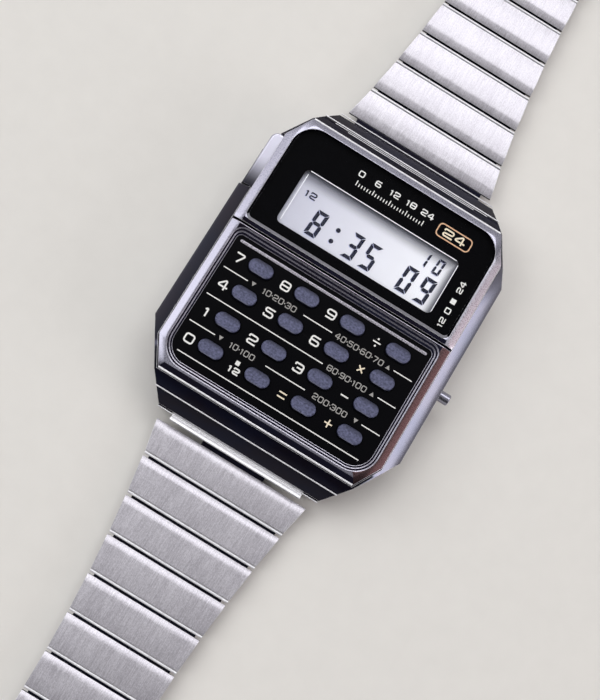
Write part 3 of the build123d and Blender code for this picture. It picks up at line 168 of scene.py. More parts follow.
FINISHES = {
    # Stainless steel, buffed, its colour darkened into a painted dark reflection that turns from
    # plum to navy over some millimetres
    "stainless_steel_buffed": ("#47424b", "#3e4150", *BUFFED),
    # The same with painted reflections: paler on upright walls, and in between on the right facets
    "stainless_steel_buffed_wall": ("#94909a", "#8a8c99", *BUFFED),
    "stainless_steel_buffed_facet": ("#706c77", "#686a7b", *BUFFED),
    # Stainless steel, buffed and darkened: a painted dark reflection on the hood slopes, painted
    # shade on walls and steps and deep between the links, and the dark flats beside the panels
    "stainless_steel_black_plated": (
        "#1a1620", "#15182b", 0.2, (0.12, 0.22), (6.0, 3.0, 3.0), 0.002, 0.2, 0.15),
    # Stainless steel, near white and only partly metallic, so that it looks bright under any
    # light: a painted highlight for the fine bright lines round each facet
    "stainless_steel_diamond_cut": ("#e2e2e8", "#f4f4f8", 0.35, (0.34, 0.46), 0.8, 0.001, 0.1),
    # Stainless steel, bead blasted: soft lavender grey sheen with a fine even grain
    "stainless_steel_blasted": ("#8a8997", "#a2a1b0", *BLASTED),
    # The same with painted light: a painted highlight on the keypad bezel's lines, a painted
    # reflection on either bezel's right slope, rose or pale, and a painted highlight on the trim
    # bar
    "stainless_steel_blasted_edge": ("#a19fac", "#bcbac6", *BLASTED),
    "stainless_steel_blasted_rose": ("#5a4749", "#6d585b", *BLASTED),
    "stainless_steel_blasted_light": ("#aeacb9", "#c8c6d3", *BLASTED),
    "stainless_steel_blasted_pale": ("#b3afbb", "#cdc9d4", *BLASTED),
    # Stainless steel, stamped and tumbled: duller than the links, with small round marks
    "stainless_steel_tumbled": (
        "#9b9a9b", "#bcbbbb", 1.0, (0.28, 0.42), (0.3, 0.9, 0.3), 0.008, 0.4),
    # Stainless steel sheet, brushed across: straight streaks over the whole back
    "stainless_steel_brushed_across": (
        "#98979a", "#c4c3c5", 1.0, (0.24, 0.4), (7.0, 0.12, 0.5), 0.006, 0.4),
    # Glass bevel, painted as a matt grey bar along the window's lower edge: a painted highlight
    "mineral_glass_ground": ("#96969f", "#bbbbc4", 0.0, (0.3, 0.45), 0.15, 0.003, 0.3),
    # Enamel ink, screen printed on the back of the glass: deep black and nearly smooth
    "enamel_ink_screen_printed": (
        "#030306", "#07070d", 0.0, (0.28, 0.4), 0.25, 0.002, 0.2, 0.05),
    # Polycarbonate sheet, hard coated: black satin in which the keypad's prints sit
    "polycarbonate_hard_coated": (
        "#020204", "#06060a", 0.0, (0.3, 0.45), 0.1, 0.003, 0.25, 0.05),
    # Silicone rubber, moulded, in shade: the darker blue side wall of each key
    "silicone_rubber_side": ("#181a2c", "#2b2f49", 0.0, (0.5, 0.7), 0.4, 0.01, 0.4, 0.3),
    # Epoxy ink, pad printed: warm white characters, a little thinner towards their edges
    "epoxy_ink_pad_printed_white": ("#dcdcdc", "#f6f6f2", *PAD_PRINTED),
    # The same in cream for signs, in thin grey for small marks and in peach for the outline
    "epoxy_ink_pad_printed_cream": ("#e2d3b6", "#f5ebd6", *PAD_PRINTED),
    "epoxy_ink_pad_printed_grey": ("#807e7e", "#aeaca8", *PAD_PRINTED),
    "epoxy_ink_pad_printed_peach": ("#c99a76", "#e6bd98", *PAD_PRINTED),
    # Liquid crystal, switched on: navy segments with sharp edges
    "liquid_crystal_switched_on": (
        "#05071c", "#0b1030", 0.0, (0.3, 0.4), 0.4, 0.001, 0.1, 0.05),
    # Polariser film under lit segments: the pale blue shadow that each one casts
    "polariser_film_shaded": ("#a3a5c4", "#b3b5d0", 0.0, (0.4, 0.5), 0.5, 0.001, 0.1),
    # Conductive silicone, extruded: pink grey rubber with fine stripes
    "silicone_strip_extruded": ("#6f5152", "#8a6a6a", 0.0, (0.6, 0.75), (0.1, 2.0, 0.5), 0.01),
    # Glass-filled polyamide, moulded: black with a cloudy flow pattern
    "polyamide_moulded": ("#0d0d0f", "#19191c", 0.0, (0.45, 0.6), 0.6, 0.01),
    # Glass-epoxy laminate under solder mask: green, glossy over its weave
    "glass_epoxy_laminate": (
        "#06351a", "#0c4a26", 0.0, (0.3, 0.45), 0.5, 0.01, 0.5, 0.5, 0.3),
    # Epoxy, transfer moulded: flat black with a sandy skin
    "epoxy_transfer_moulded": ("#101011", "#1b1b1c", 0.0, (0.5, 0.65), 0.08, 0.006),
    # Nickel-plated brass can, drawn: bright with lengthwise draw marks
    "nickel_plate_drawn": ("#b3b0a8", "#cbc8c0", 1.0, (0.12, 0.25), (3.0, 0.15, 0.15), 0.003),
    # Nickel-plated steel can, pressed: soft shine with round press marks
    "nickel_plate_pressed": ("#aba9a4", "#c6c4be", 1.0, (0.2, 0.34), 0.8, 0.004),
    # Spring steel strip, ground: grey with straight grinding lines
    "spring_steel_ground": ("#8c8b89", "#aaa9a6", 1.0, (0.22, 0.36), (6.0, 0.1, 0.3), 0.004),
    # Brass disc, stamped: warm yellow, slightly tarnished in patches
    "brass_stamped": ("#9c7b3c", "#c9a55c", 1.0, (0.22, 0.4), 1.5, 0.004),
    # Silicone sheet, moulded: grey and quite matt
    "silicone_sheet_moulded": ("#4b4b50", "#606066", 0.0, (0.6, 0.75), 0.3, 0.01),
    # Nitrile rubber, moulded: matt black
    "nitrile_rubber_moulded": ("#0b0b0c", "#161617", 0.0, (0.55, 0.7), 0.2, 0.006),
    # Stainless steel, turned: bright heads with fine tool marks
    "stainless_steel_turned": ("#a9a8aa", "#c7c6c8", 1.0, (0.12, 0.24), 0.15, 0.002),
}
STEEL = "stainless_steel_blasted"
BRIGHT = "stainless_steel_diamond_cut"
BLACK = "stainless_steel_black_plated"
WHITE_INK = "epoxy_ink_pad_printed_white"
CREAM_INK = "epoxy_ink_pad_printed_cream"

# Finishes of the pieces inside the case, by material slot
INNER_FINISHES = {
    "contact_elastomer": "silicone_strip_extruded",
    "frame_resin": "polyamide_moulded",
    "board_laminate": "glass_epoxy_laminate",
    "chip_epoxy": "epoxy_transfer_moulded",
    "crystal_can": "nickel_plate_drawn",
    "cell_can": "nickel_plate_pressed",
    "spring_steel": "spring_steel_ground",
    "buzzer_brass": "brass_stamped",
    "mat_silicone": "silicone_sheet_moulded",
    "seal_rubber": "nitrile_rubber_moulded",
    "screw_steel": "stainless_steel_turned",
}


def grained(name, dark, light, metallic, roughness, grain_mm, depth_mm, strength=0.5,
            specular=0.5, coat=0.0):
    """A finish whose colour, roughness and relief all follow one grain."""
    material, tree, shader, value = new_material(name, grain_mm, (depth_mm, strength), {
        "Metallic": metallic, "Specular IOR Level": specular, "Coat Weight": coat})
    if coat:
        feed(shader, {"Coat Roughness": 0.08})
    tint(tree, shader, value, dark, light, roughness)
    return material


def finish(name):
    """A finish of the table, made at its first use."""
    return bpy.data.materials.get(name) or grained(name, *FINISHES[name])


def button_steel(low_y, high_y):
    """Stainless steel, blasted by hand, with painted shade: pale at the button's upper end,
    nearly black below.
    """
    material, tree, shader, value = new_material(
        "stainless_steel_blasted_graded", 0.3, (0.003, 0.2), {"Metallic": 0.9, "Roughness": 0.32})
    # Painted shade: the colour darkens towards the button's lower end
    pale_from = low_y + (high_y - low_y) * 0.6
    along = put(tree, "MapRange", over(place_on_piece(tree)["Y"], low_y, pale_from), **SMOOTH)
    tone = put(tree, "Math", {0: value, 1: 0.06, 2: along.outputs["Result"]},
               operation="MULTIPLY_ADD").outputs["Value"]
    colour = put(tree, "Mix", {0: tone, FIRST: "#15151e", SECOND: "#c4c3d2"},
                 **COLOURS).outputs[MIXED]
    feed(shader, {"Base Color": colour})
    return material


def link_steel():
    """Stainless steel strip, brushed lengthwise: hair lines and a sparkle of torn grains."""
    material, tree, shader, hairs = new_material(
        "stainless_steel_brushed_lengthwise", (0.09, 2.2, 0.5), (0.004, 0.2), {"Metallic": 0.65},
        detail=4.0)
    sparkle, broad = (grain(tree, size, 2.0) for size in ((0.1, 0.22, 0.2), (2.5, 6.0, 4.0)))
    tone = 0.0
    for value, share in ((hairs, 0.42), (sparkle, 0.43), (broad, 0.15)):
        tone = put(tree, "Math", {0: value, 1: share, 2: tone},
                   operation="MULTIPLY_ADD").outputs["Value"]
    tint(tree, shader, tone, "#aeabb4", "#d4d2da", (0.36, 0.48), (0.4, 0.6), (0.38, 0.62))
    return material


def window_glass():
    """Mineral glass, polished flat: clear, with one sharp reflection and faint wipe marks."""
    material, tree, shader, wipes = new_material("mineral_glass_polished", (3.0, 6.0, 3.0), None, {
        "Base Color": "#f7f9fb", "IOR": 1.5, "Transmission Weight": 1.0})
    rough = put(tree, "MapRange", over(wipes, 0.3, 0.7, 0.0, 0.03)).outputs["Result"]
    feed(shader, {"Roughness": rough})
    # Light falls through the glass, so that the display isn't in its shadow
    show_by_share(tree, put(tree, "LightPath").outputs["Is Shadow Ray"], shader,
                  put(tree, "BsdfTransparent").outputs["BSDF"])
    return material


def key_rubber():
    """Silicone rubber, moulded: blue grey mottle, with painted light at the lower rim and painted
    shade at the upper.
    """
    material, tree, shader, mottle = new_material(
        "silicone_rubber_moulded", (0.3, 0.24, 0.3), (0.02, 0.4), {"Specular IOR Level": 0.35},
        detail=4.0)
    colour = tint(tree, shader, mottle, "#363950", "#696c8c", (0.5, 0.68))
    height = put(tree, "Attribute", attribute_name="height_on_key").outputs["Fac"]
    # Painted shade along the key's upper rim, then painted light along its lower rim
    for span, tone in (((0.6, 1.0, 0.0, 0.8), "#181a2a"), ((0.02, 0.1, 0.55, 0.0), "#a0a2b6")):
        rim = put(tree, "MapRange", over(height, *span), **SMOOTH).outputs["Result"]
        colour = put(tree, "Mix", {0: rim, FIRST: colour, SECOND: tone}, **COLOURS).outputs[MIXED]
    feed(shader, {"Base Color": colour})
    return material


def display_film():
    """Polariser film, pearl backed: pale lavender, with painted light that whitens it to the right
    and a painted shadow of the mask along its top and right rim.
    """
    material, tree, shader, pearl = new_material(
        "polariser_film_pearl", 0.12, (0.003, 0.2), {"Roughness": 0.38})
    x0, x1, _, y1 = (edge * MM for edge in APERTURE)
    place = place_on_piece(tree)
    # Painted light: the film grows whiter towards the right
    across = put(tree, "MapRange", over(place["X"], x0, x1)).outputs["Result"]
    tone = put(tree, "Math", {0: pearl, 1: 0.12, 2: across},
               operation="MULTIPLY_ADD").outputs["Value"]
    pale = put(tree, "Mix", {0: tone, FIRST: "#b3b2c1", SECOND: "#e6e5ea"},
               **COLOURS).outputs[MIXED]
    # Painted shadow of the mask along the top and right edges of the opening
    shade = 0.0
    for axis, edge, width_mm in (("Y", y1, 2.3), ("X", x1, 1.3)):
        span = over(place[axis], edge - width_mm * MM, edge, 0.0, 0.95)
        rim = put(tree, "MapRange", span, **SMOOTH).outputs["Result"]
        shade = put(tree, "Math", {0: rim, 1: shade}, operation="MAXIMUM").outputs["Value"]
    colour = put(tree, "Mix", {0: shade, FIRST: pale, SECOND: "#26273c"}, **COLOURS).outputs[MIXED]
    feed(shader, {"Base Color": colour})
    return material


# Meshes

SAME_PLACE = 0.0005 * MM
FLAT_ANGLE = radians(0.6)
SHARP_ANGLE = radians(24)
SMOOTH_ANGLE = radians(32)
SHORTEST_EDGE = 0.2 * MM
SLOPED = 0.3  # share of a face's normal along an axis from which the face slopes that way
BRIGHT_FACE, BLACK_FACE, RIGHT_FACE = 1, 2, 3  # material indexes on the steel pieces
WALL_FACE, FACET_FACE = 3, 4  # the case body's own


def merged_copy(node):
    """The CAD node's mesh as a bmesh with its doubles merged and its flat faces rejoined."""
    bm = bmesh.new()
    bm.from_mesh(NODES[node].data)
    bmesh.ops.remove_doubles(bm, verts=bm.verts, dist=SAME_PLACE)
    bmesh.ops.dissolve_limit(bm, angle_limit=FLAT_ANGLE, verts=bm.verts, edges=bm.edges,
                             delimit={"NORMAL"})
    return bm


def turns_by(edge, angle):
    """Whether the two faces of an edge meet at more than an angle."""
    return len(edge.link_faces) == 2 and edge.calc_face_angle(0.0) > angle


def long_enough(edge):
    """Leaves out the short edges of small rounds."""
    return edge.calc_length() > SHORTEST_EDGE


def soften_edges(bm, width_mm, segments, wanted):
    """Bevels the sharp edges and returns the narrow faces that this makes."""
    sharp = [e for e in bm.edges if turns_by(e, SHARP_ANGLE) and (wanted is None or wanted(e))]
    return bmesh.ops.bevel(
        bm, geom=sharp, offset=width_mm * MM, offset_type="OFFSET", affect="EDGES",
        segments=segments, profile=0.5, material=-1, clamp_overlap=True)["faces"]


def shade_by_angle(bm):
    """Smooth faces, with an edge kept sharp where its faces meet at more than the limit."""
    for face in bm.faces:
        face.smooth = True
    for edge in bm.edges:
        edge.smooth = not turns_by(edge, SMOOTH_ANGLE)


def linked(name, data):
    """Makes an object of some data and links it into the scene."""
    made = bpy.data.objects.new(name, data)
    bpy.context.scene.collection.objects.link(made)
    return made


def to_object(name, bm, finishes):
    """Makes an object of a bmesh, at the origin, with finishes given by name or as materials."""
    mesh = bpy.data.meshes.new(name)
    bm.to_mesh(mesh)
    bm.free()
    for entry in finishes:
        mesh.materials.append(finish(entry) if isinstance(entry, str) else entry)
    return linked(name, mesh)


def to_piece(name, bm, finishes, body):
    """Makes a piece of a bmesh, riding on a body."""
    piece = to_object(name, bm, finishes)
    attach(piece, body)
    return piece


def body_of_node(node):
    """The CAD body that a node belongs to."""
    return next(b for b, nodes in RECORD["behaviour"]["bodies"].items() if node in nodes)


def middle_of(node):
    """The middle of a node's box, in millimetres."""
    return [(a + b) / 2 / MM for a, b in zip(*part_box(node))]


def dressed(node, finishes, width_mm=0.0, segments=2, wanted=None, sort_faces=None, cuts=()):
    """A copy of a CAD node with softened edges, in its place, with finishes by face."""
    bm = merged_copy(node)
    narrow = set(soften_edges(bm, width_mm, segments, wanted)) if width_mm else set()
    # The narrow faces of the softened edges take the second finish, on steel a painted highlight
    for face in bm.faces:
        face.material_index = BRIGHT_FACE if face in narrow and len(finishes) > 1 else 0
    for axis, place in cuts:
        normal = Vector((axis == "x", axis == "y", axis == "z"))
        bmesh.ops.bisect_plane(bm, geom=bm.verts[:] + bm.edges[:] + bm.faces[:], dist=1e-7,
                               plane_co=normal * place * MM, plane_no=normal)
    narrow = {face for face in bm.faces if face.material_index}
    bm.normal_update()
    if sort_faces:
        sort_faces(bm, narrow)
    shade_by_angle(bm)
    piece = to_piece(f"{node}_finish", bm, finishes, body_of_node(node))
    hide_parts(node)
    piece.modifiers.new("even_normals", "WEIGHTED_NORMAL").keep_sharp = True


def in_place(node, material):
    """Gives a CAD node its finish and leaves its shape alone."""
    slots = NODES[node].material_slots
    if not slots:
        NODES[node].data.materials.append(material)
    for slot in slots:
        slot.material = material


def add_bar(bm, x0, x1, y0, y1, z0, z1):
    """Adds a box between two corners, in millimetres."""
    made = bmesh.ops.create_cube(bm, size=1.0)["verts"]
    middle = Vector(((x0 + x1) / 2, (y0 + y1) / 2, (z0 + z1) / 2)) * MM
    bmesh.ops.scale(bm, vec=Vector((x1 - x0, y1 - y0, z1 - z0)) * MM, verts=made)
    bmesh.ops.translate(bm, vec=middle, verts=made)


def add_outline(bm, points, z):
    """Adds a flat face on a closed outline, in millimetres."""
    bm.faces.new([bm.verts.new(Vector((x, y, z)) * MM) for x, y in points])


def add_patch(bm, x0, x1, y0, y1, z):
    """Adds a flat rectangle, in millimetres."""
    add_outline(bm, [(x0, y0), (x1, y0), (x1, y1), (x0, y1)], z)


def add_dot(bm, x, y, radius, z):
    """Adds a flat round dot, in millimetres."""
    bmesh.ops.create_circle(bm, cap_ends=True, segments=24, radius=radius * MM,
                            matrix=Matrix.Translation(Vector((x, y, z)) * MM))


def draw_stroke(bm, points, radius, stroke, z):
    """Draws a flat stroke, in millimetres: an edge as wide as the pen is pushed along each
    straight and spun round each corner."""
    places = [Vector((x, y, z)) * MM for x, y in points]
    lengths = [(b - a).length for a, b in zip(places, places[1:])]
    ahead = (places[1] - places[0]).normalized()
    across = Vector((-ahead.y, ahead.x, 0.0)) * (stroke * MM / 2)
    pen = bm.edges.new([bm.verts.new(places[0] + across), bm.verts.new(places[0] - across)])
    here = places[0]
    for index, corner in enumerate(places[1:]):
        reach = turn = 0.0
        if index + 1 < len(lengths):
            after = (places[index + 2] - corner).normalized()
            turn = copysign(ahead.angle(after), ahead.cross(after).z)
            reach = min(radius * MM * tan(abs(turn) / 2), lengths[index] / 2,
                        lengths[index + 1] / 2)
        made = bmesh.ops.extrude_edge_only(bm, edges=[pen])["geom"]
        moved = [g for g in made if isinstance(g, bmesh.types.BMVert)]
        bmesh.ops.translate(bm, verts=moved, vec=corner - ahead * reach - here)
        pen = next(e for v in moved for e in v.link_edges if set(e.verts) == set(moved))
        if not turn:
            return
        left = Vector((-ahead.y, ahead.x, 0.0))
        pivot = corner - ahead * reach + left * copysign(reach / tan(abs(turn) / 2), turn)
        made = bmesh.ops.spin(bm, geom=moved + [pen], cent=pivot, axis=(0, 0, 1), angle=turn,
                              steps=CORNER_STEPS)["geom_last"]
        pen = next(g for g in made if isinstance(g, bmesh.types.BMEdge))
        here = corner + after * reach
        ahead = after


def print_pieces(prints, thickness):
    """Gives flat prints their thickness and makes a piece of each."""
    for name, (bm, ink) in prints.items():
        top = bmesh.ops.extrude_face_region(bm, geom=bm.faces[:])["geom"]
        moved = [g for g in top if isinstance(g, bmesh.types.BMVert)]
        bmesh.ops.translate(bm, vec=(0, 0, thickness * MM), verts=moved)
        bmesh.ops.recalc_face_normals(bm, faces=bm.faces[:])
        to_piece(name, bm, [ink], "case")


# Plain numbers, drawn with a stroke of even width. A place is a share of half the width and
# half the height, from the middle; the flag says whether the corners are round or tight.
RING = ((0, 1), (1, 1), (1, -1), (-1, -1), (-1, 1), (0, 1))
DIGIT_STROKES = {
    "0": ((True, RING),),
    "1": ((False, ((-0.4, 0.45), (0.15, 1), (0.15, -1.2))),),
    "2": ((True, ((-1, 0.45), (-1, 1), (1, 1), (1, -0.02), (-1, -0.2), (-1, -1), (1.1, -1))),),
    "3": ((True, ((-1, 0.5), (-1, 1), (1, 1), (1, -1), (-1, -1), (-1, -0.5))),
          (True, ((-0.4, 0), (0.8, 0)))),
    "4": ((False, ((0.5, -1.2), (0.5, 1.45), (-1.3, -0.42), (0.28, -0.42))),
          (False, ((0.72, -0.42), (1.2, -0.42)))),
    "5": ((True, ((1.1, 1), (-1, 1), (-1, 0.15), (1, 0.15), (1, -1), (-1, -1), (-1, -0.5))),),
    "6": ((True, ((1, 1), (-1, 1), (-1, -1), (1, -1), (1, 0.1), (-0.8, 0.1))),),
    "7": ((False, ((-1.1, 1), (1, 1), (-0.35, -1.2))),),
    "8": ((True, RING), (True, ((-0.8, 0), (0.8, 0)))),
    "9": ((True, ((-1, -1), (1, -1), (1, 1), (-1, 1), (-1, -0.1), (0.8, -0.1))),),
}
CORNER_STEPS = 5
ROUND_CORNER = 0.22  # radius as a share of a digit's height
TIGHT_CORNER = 0.55  # radius as a share of the stroke
DIGIT_GAP = 0.9  # share of the stroke
POINT_SIZE = 1.2  # share of the stroke
ONE_WIDTH = 0.6  # the "1" as a share of the other digits' width


def add_number(bm, number, x, y, width, height, stroke, z, turn=0.0):
    """Adds a row of digits and points, its middle at a place, turned about that place."""
    half_w = (width - stroke) / 2
    half_h = (height - stroke) / 2
    gap = stroke * DIGIT_GAP
    widths = [stroke if c == "." else width * ONE_WIDTH if c == "1" else width for c in number]
    cursor = -(sum(widths) + gap * (len(number) - 1)) / 2
    for character, room in zip(number, widths):
        middle = cursor + room / 2
        cursor += room + gap
        if character == ".":
            half = stroke * POINT_SIZE / 2
            lines = [(0, stroke * POINT_SIZE, [(0, -half), (0, half)])]
        else:
            lines = [(height * ROUND_CORNER if is_round else stroke * TIGHT_CORNER, stroke,
                      [(px * half_w, py * half_h) for px, py in points])
                     for is_round, points in DIGIT_STROKES[character]]
        for radius, pen, points in lines:
            draw_stroke(bm, [(x + (middle + px) * cos(turn) - py * sin(turn),
                              y + (middle + px) * sin(turn) + py * cos(turn))
                             for px, py in points], radius, pen, z)


def add_frame(bm, x, y, width, height, radius, stroke, z):
    """Adds a flat rectangular ring, its middle line of this size, its middle at a place."""
    draw_stroke(bm, [(x + px * width / 2, y + py * height / 2) for px, py in RING],
                max(radius, stroke * TIGHT_CORNER), stroke, z)


def add_cross(bm, x, y, half, stroke, turn, z):
    """Adds a plus sign, turned for a multiplication sign: one bar and two stubs."""
    for start, quarter in ((-half, 0.0), (stroke / 2, pi / 2), (stroke / 2, -pi / 2)):
        along = Vector((cos(turn + quarter), sin(turn + quarter)))
        draw_stroke(bm, [(x + along.x * reach, y + along.y * reach) for reach in (start, half)],
                    0, stroke, z)


SEGMENTS = {"0": "abcdef", "1": "bc", "2": "abged", "3": "abgcd", "4": "fgbc", "5": "afgcd",
            "6": "afgedc", "7": "abc", "8": "abcdefg", "9": "abcdfg"}
SEGMENT_GAP = 0.1  # share of the stroke
SEGMENT_SLANT = 0.063  # sideways lean as a share of the height


def add_segment_digit(bm, digit, x, y, width, height, stroke, z):
    """Adds one seven-segment digit, slanted to the right, its centre at a place."""
    half_w = width / 2
    half_h = height / 2
    inner_w = half_w - stroke
    gap = stroke * SEGMENT_GAP

    def end_bar(above):
        level = above * half_h
        inner = level - above * stroke
        return [(gap - half_w, level), (half_w - gap, level), (inner_w, inner), (-inner_w, inner)]

    def upright(side, above):
        outer = side * half_w
        end = above * (half_h - gap)
        mid = above * gap
        return [(outer, end - above * stroke * 0.15), (side * inner_w, end - above * stroke),
                (side * inner_w, mid + above * stroke * 0.5),
                (side * (half_w - stroke * 0.5), mid), (outer, mid + above * stroke * 0.4)]

    tip = half_w - stroke * 0.5 - gap
    shapes = {
        "a": end_bar(1), "d": end_bar(-1),
        "g": [(-tip, 0.0), (-inner_w, stroke / 2), (inner_w, stroke / 2), (tip, 0.0),
              (inner_w, -stroke / 2), (-inner_w, -stroke / 2)],
        "b": upright(1, 1), "c": upright(1, -1), "f": upright(-1, 1), "e": upright(-1, -1),
    }
    for letter in SEGMENTS[digit]:
        add_outline(bm, [(x + px + SEGMENT_SLANT * py, y + py) for px, py in shapes[letter]], z)


# Settings that a user would change

class WatchCameraSettings(bpy.types.PropertyGroup):
    """Where the camera stands."""
    tilt_x: FloatProperty(name="Tilt X", description="Turn about the image's X axis",
                          default=radians(-8.536), subtype="ANGLE")
    tilt_y: FloatProperty(name="Tilt Y", description="Turn about the image's Y axis",
                          default=radians(0.718), subtype="ANGLE")
    roll: FloatProperty(name="Roll", description="Turn about the line of sight",
                        default=radians(-31.47), subtype="ANGLE")
    offset: FloatVectorProperty(name="Offset", description="Shift of the watch before the camera",
                                default=(0.003479, 0.005519), size=2, subtype="TRANSLATION")
    distance: FloatProperty(name="Distance", description="Distance along the line of sight",
                            default=0.139995, subtype="DISTANCE")
    lens: FloatProperty(name="Lens", description="Focal length", default=54.528,
                        subtype="DISTANCE_CAMERA")


class WatchLightSettings(bpy.types.PropertyGroup):
    """Lamps, world and floor."""
    key_power: FloatProperty(name="Key power", description="Power of the large soft lamp",
                             default=0.86, subtype="POWER")
    left_power: FloatProperty(name="Left power", description="Power of the left lamp",
                              default=0.5, subtype="POWER")
    strap_power: FloatProperty(name="Strap power", description="Power of the lamp by the strap",
                               default=0.06, subtype="POWER")
    right_power: FloatProperty(name="Right power", description="Power of the warm right lamp",
                               default=0.15, subtype="POWER")
    low_power: FloatProperty(name="Low power", description="Power of the low right lamp",
                             default=0.5, subtype="POWER")
    world_level: FloatProperty(name="World", description="Brightness of the world overhead",
                               default=0.9, min=0.0)
    floor_colour: StringProperty(name="Floor", description="Hex colour of the floor",
                                 default="#dedcd8")


class WatchPrintSettings(bpy.types.PropertyGroup):
    """Sizes of what is printed on the panels, and of the display's digits."""
    digit_height: FloatProperty(name="Key digit", description="Height of a key's digit in mm",
                                default=1.28)
    legend_offset: FloatVectorProperty(name="Legend offset", size=2, default=(-2.95, -0.2),
                                       description="From a key's middle to its legend, in mm")
    thickness: FloatProperty(name="Print thickness", description="Ink thickness in mm",
                             default=0.015)
    time_text: StringProperty(name="Time", description="Digits that the display shows",
                              default="835")
    day_text: StringProperty(name="Day", description="Digits at the display's right",
                             default="09")


class WatchEdgeSettings(bpy.types.PropertyGroup):
    """How wide the softened edges are."""
    case_edge: FloatProperty(name="Case edge", description="Width in mm", default=0.12)
    line_width: FloatProperty(name="Line width", description="Width of a bright edge line in mm",
                              default=0.07)
    link_edge: FloatProperty(name="Link edge", description="Width in mm", default=0.05)
    small_edge: FloatProperty(name="Small edge", description="Width in mm", default=0.04)
    segments: IntProperty(name="Segments", description="Faces across an edge", default=3)


# Operators

# Limits by which the case's edges and faces are told apart: shares of a face's normal, and
# lengths and places in metres
EDGES_ABOVE = 3.0 * MM
LONG_EDGE = 1.5 * MM
LEVEL_NORMAL = 0.98
UPRIGHT_NORMAL = 0.8
LOW_SLOPE_NORMAL = -0.2
RIM_MARGIN = 0.1 * MM
BRIDGE_LOW_Y = -1.0 * MM
CORNER_Y = -15.0 * MM
CORNER_SHARE = 0.85  # of the window's half width, where the bezel's lower right corner starts
# The hoods' ridges, in mm: from the hood's end, their height, and the height of the hood's top
RIDGE_BACK = 2.0
RIDGE_Z = 5.6
HOOD_TOP_Z = 7.5


def case_painted_reflections(bm, narrow):
    """Painted reflections: the slopes of both hoods are painted dark, the walls and the right
    facets are paler steel.
    """
    for face in bm.faces:
        if face in narrow:
            continue
        if abs(face.normal.z) < SLOPED:
            face.material_index = WALL_FACE
        elif face.normal.x > SLOPED:
            face.material_index = FACET_FACE
        elif face.normal.z > SLOPED and abs(face.normal.y) > SLOPED:
            face.material_index = BLACK_FACE


def bezel_painted_shade_and_reflections(bm, narrow):
    """Walls and steps take painted shade and the flats between window and keypad are dark; the
    right slope and the lower right corner take a painted reflection of their own."""
    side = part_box("window_glass")[1].x
    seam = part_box("window_glass")[0].y
    rim_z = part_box("display_bezel")[1].z - RIM_MARGIN
    for face in bm.faces:
        if face in narrow:
            continue
        middle = face.calc_center_median()
        normal = face.normal
        between = abs(middle.x) < side and BRIDGE_LOW_Y < middle.y < seam
        step = normal.z > LEVEL_NORMAL and middle.z < rim_z
        corner = middle.x > CORNER_SHARE * side and middle.y < CORNER_Y
        if normal.z < UPRIGHT_NORMAL or between or step or normal.y < LOW_SLOPE_NORMAL:
            face.material_index = BLACK_FACE
        elif middle.x > side or corner:
            face.material_index = RIGHT_FACE


def hood_lines():
    """Fine beads in the painted highlight finish along the bezel's edge and the ridge of each
    hood, seen as bright lines.
    """
    end_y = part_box("case_body")[1].y / MM
    bezel_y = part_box("display_bezel")[1].y / MM
    ridge_y = end_y - RIDGE_BACK
    slope = (HOOD_TOP_Z - RIDGE_Z) / (ridge_y - bezel_y)
    # Place along Y, height, radius and half length, in mm, at both ends of the case
    lines = [(side * y, *line) for side in (1, -1) for y, *line in (
        (ridge_y, RIDGE_Z, 0.09, 13.2), (bezel_y, 7.62, 0.15, 13.9),
        (end_y - 0.03, 3.72, 0.07, 11.7))]
    # Two more up the slope of the upper hood
    lines += [(ridge_y - back, RIDGE_Z + slope * back, 0.05, half)
              for back, half in ((0.35, 11.5), (0.65, 9.5))]
    bm = bmesh.new()
    for y, z, radius, half in lines:
        made = bmesh.ops.create_cone(bm, cap_ends=True, segments=12, radius1=radius * MM,
                                     radius2=radius * MM, depth=2 * half * MM)["verts"]
        bmesh.ops.rotate(bm, verts=made, matrix=Matrix.Rotation(pi / 2, 3, "Y"))
        bmesh.ops.translate(bm, verts=made, vec=Vector((0, y, z)) * MM)
    shade_by_angle(bm)
    to_piece("hood_lines", bm, [BRIGHT], "case")


class WATCH_OT_case(bpy.types.Operator):
    """Finishes the case body, the bezels and the back"""
    bl_idname = "watch.case"
    bl_label = "Case"

    def execute(self, context):
        edges = context.scene.watch_edges

        def outside(edge):
            middle = (edge.verts[0].co + edge.verts[1].co) / 2
            return middle.z > EDGES_ABOVE and edge.calc_length() > LONG_EDGE

        dressed("case_body", ["stainless_steel_buffed", BRIGHT, BLACK,
                              "stainless_steel_buffed_wall", "stainless_steel_buffed_facet"],
                edges.case_edge, edges.segments, outside, case_painted_reflections)
        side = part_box("window_glass")[1].x / MM
        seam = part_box("window_glass")[0].y / MM
        # Each bezel's edge faces take a painted highlight, its right slope a painted reflection
        for node, line, right in (("display_bezel", BRIGHT, "stainless_steel_blasted_light"),
                                  ("keypad_bezel", "stainless_steel_blasted_edge",
                                   "stainless_steel_blasted_rose")):
            dressed(node, [STEEL, line, BLACK, right], edges.line_width,
                    sort_faces=bezel_painted_shade_and_reflections, cuts=(("x", -side), ("x", side), ("y", seam)))
        dressed("case_back", ["stainless_steel_brushed_across"], edges.small_edge)
        hood_lines()
        return {"FINISHED"}


# The window's prints, in mm
PRINT_SINK = 0.001  # how deep they sit in the mask
BADGE_PLACE = (9.1, 15.0)
SCALE_LEFT = -5.1
SCALE_PITCH = 2.45
SCALE_NUMBERS = ("0", "6", "12", "18", "24")
TICKS_BETWEEN = 6
SIDE_MARKS_X = 13.15


def aperture_edge(z):
    """A painted highlight on the lip of the display opening: bright bars along its top and right.
    """
    x0, x1, y0, y1 = APERTURE
    bm = bmesh.new()
    add_bar(bm, x0 + 0.6, x1 - 0.5, y1 - 0.1, y1 + 0.02, z, z + 0.12)
    add_bar(bm, x1 - 0.09, x1, y0 + 0.4, y1 - 0.5, z, z + 0.12)
    to_piece("aperture_edge", bm, [BRIGHT], "case")


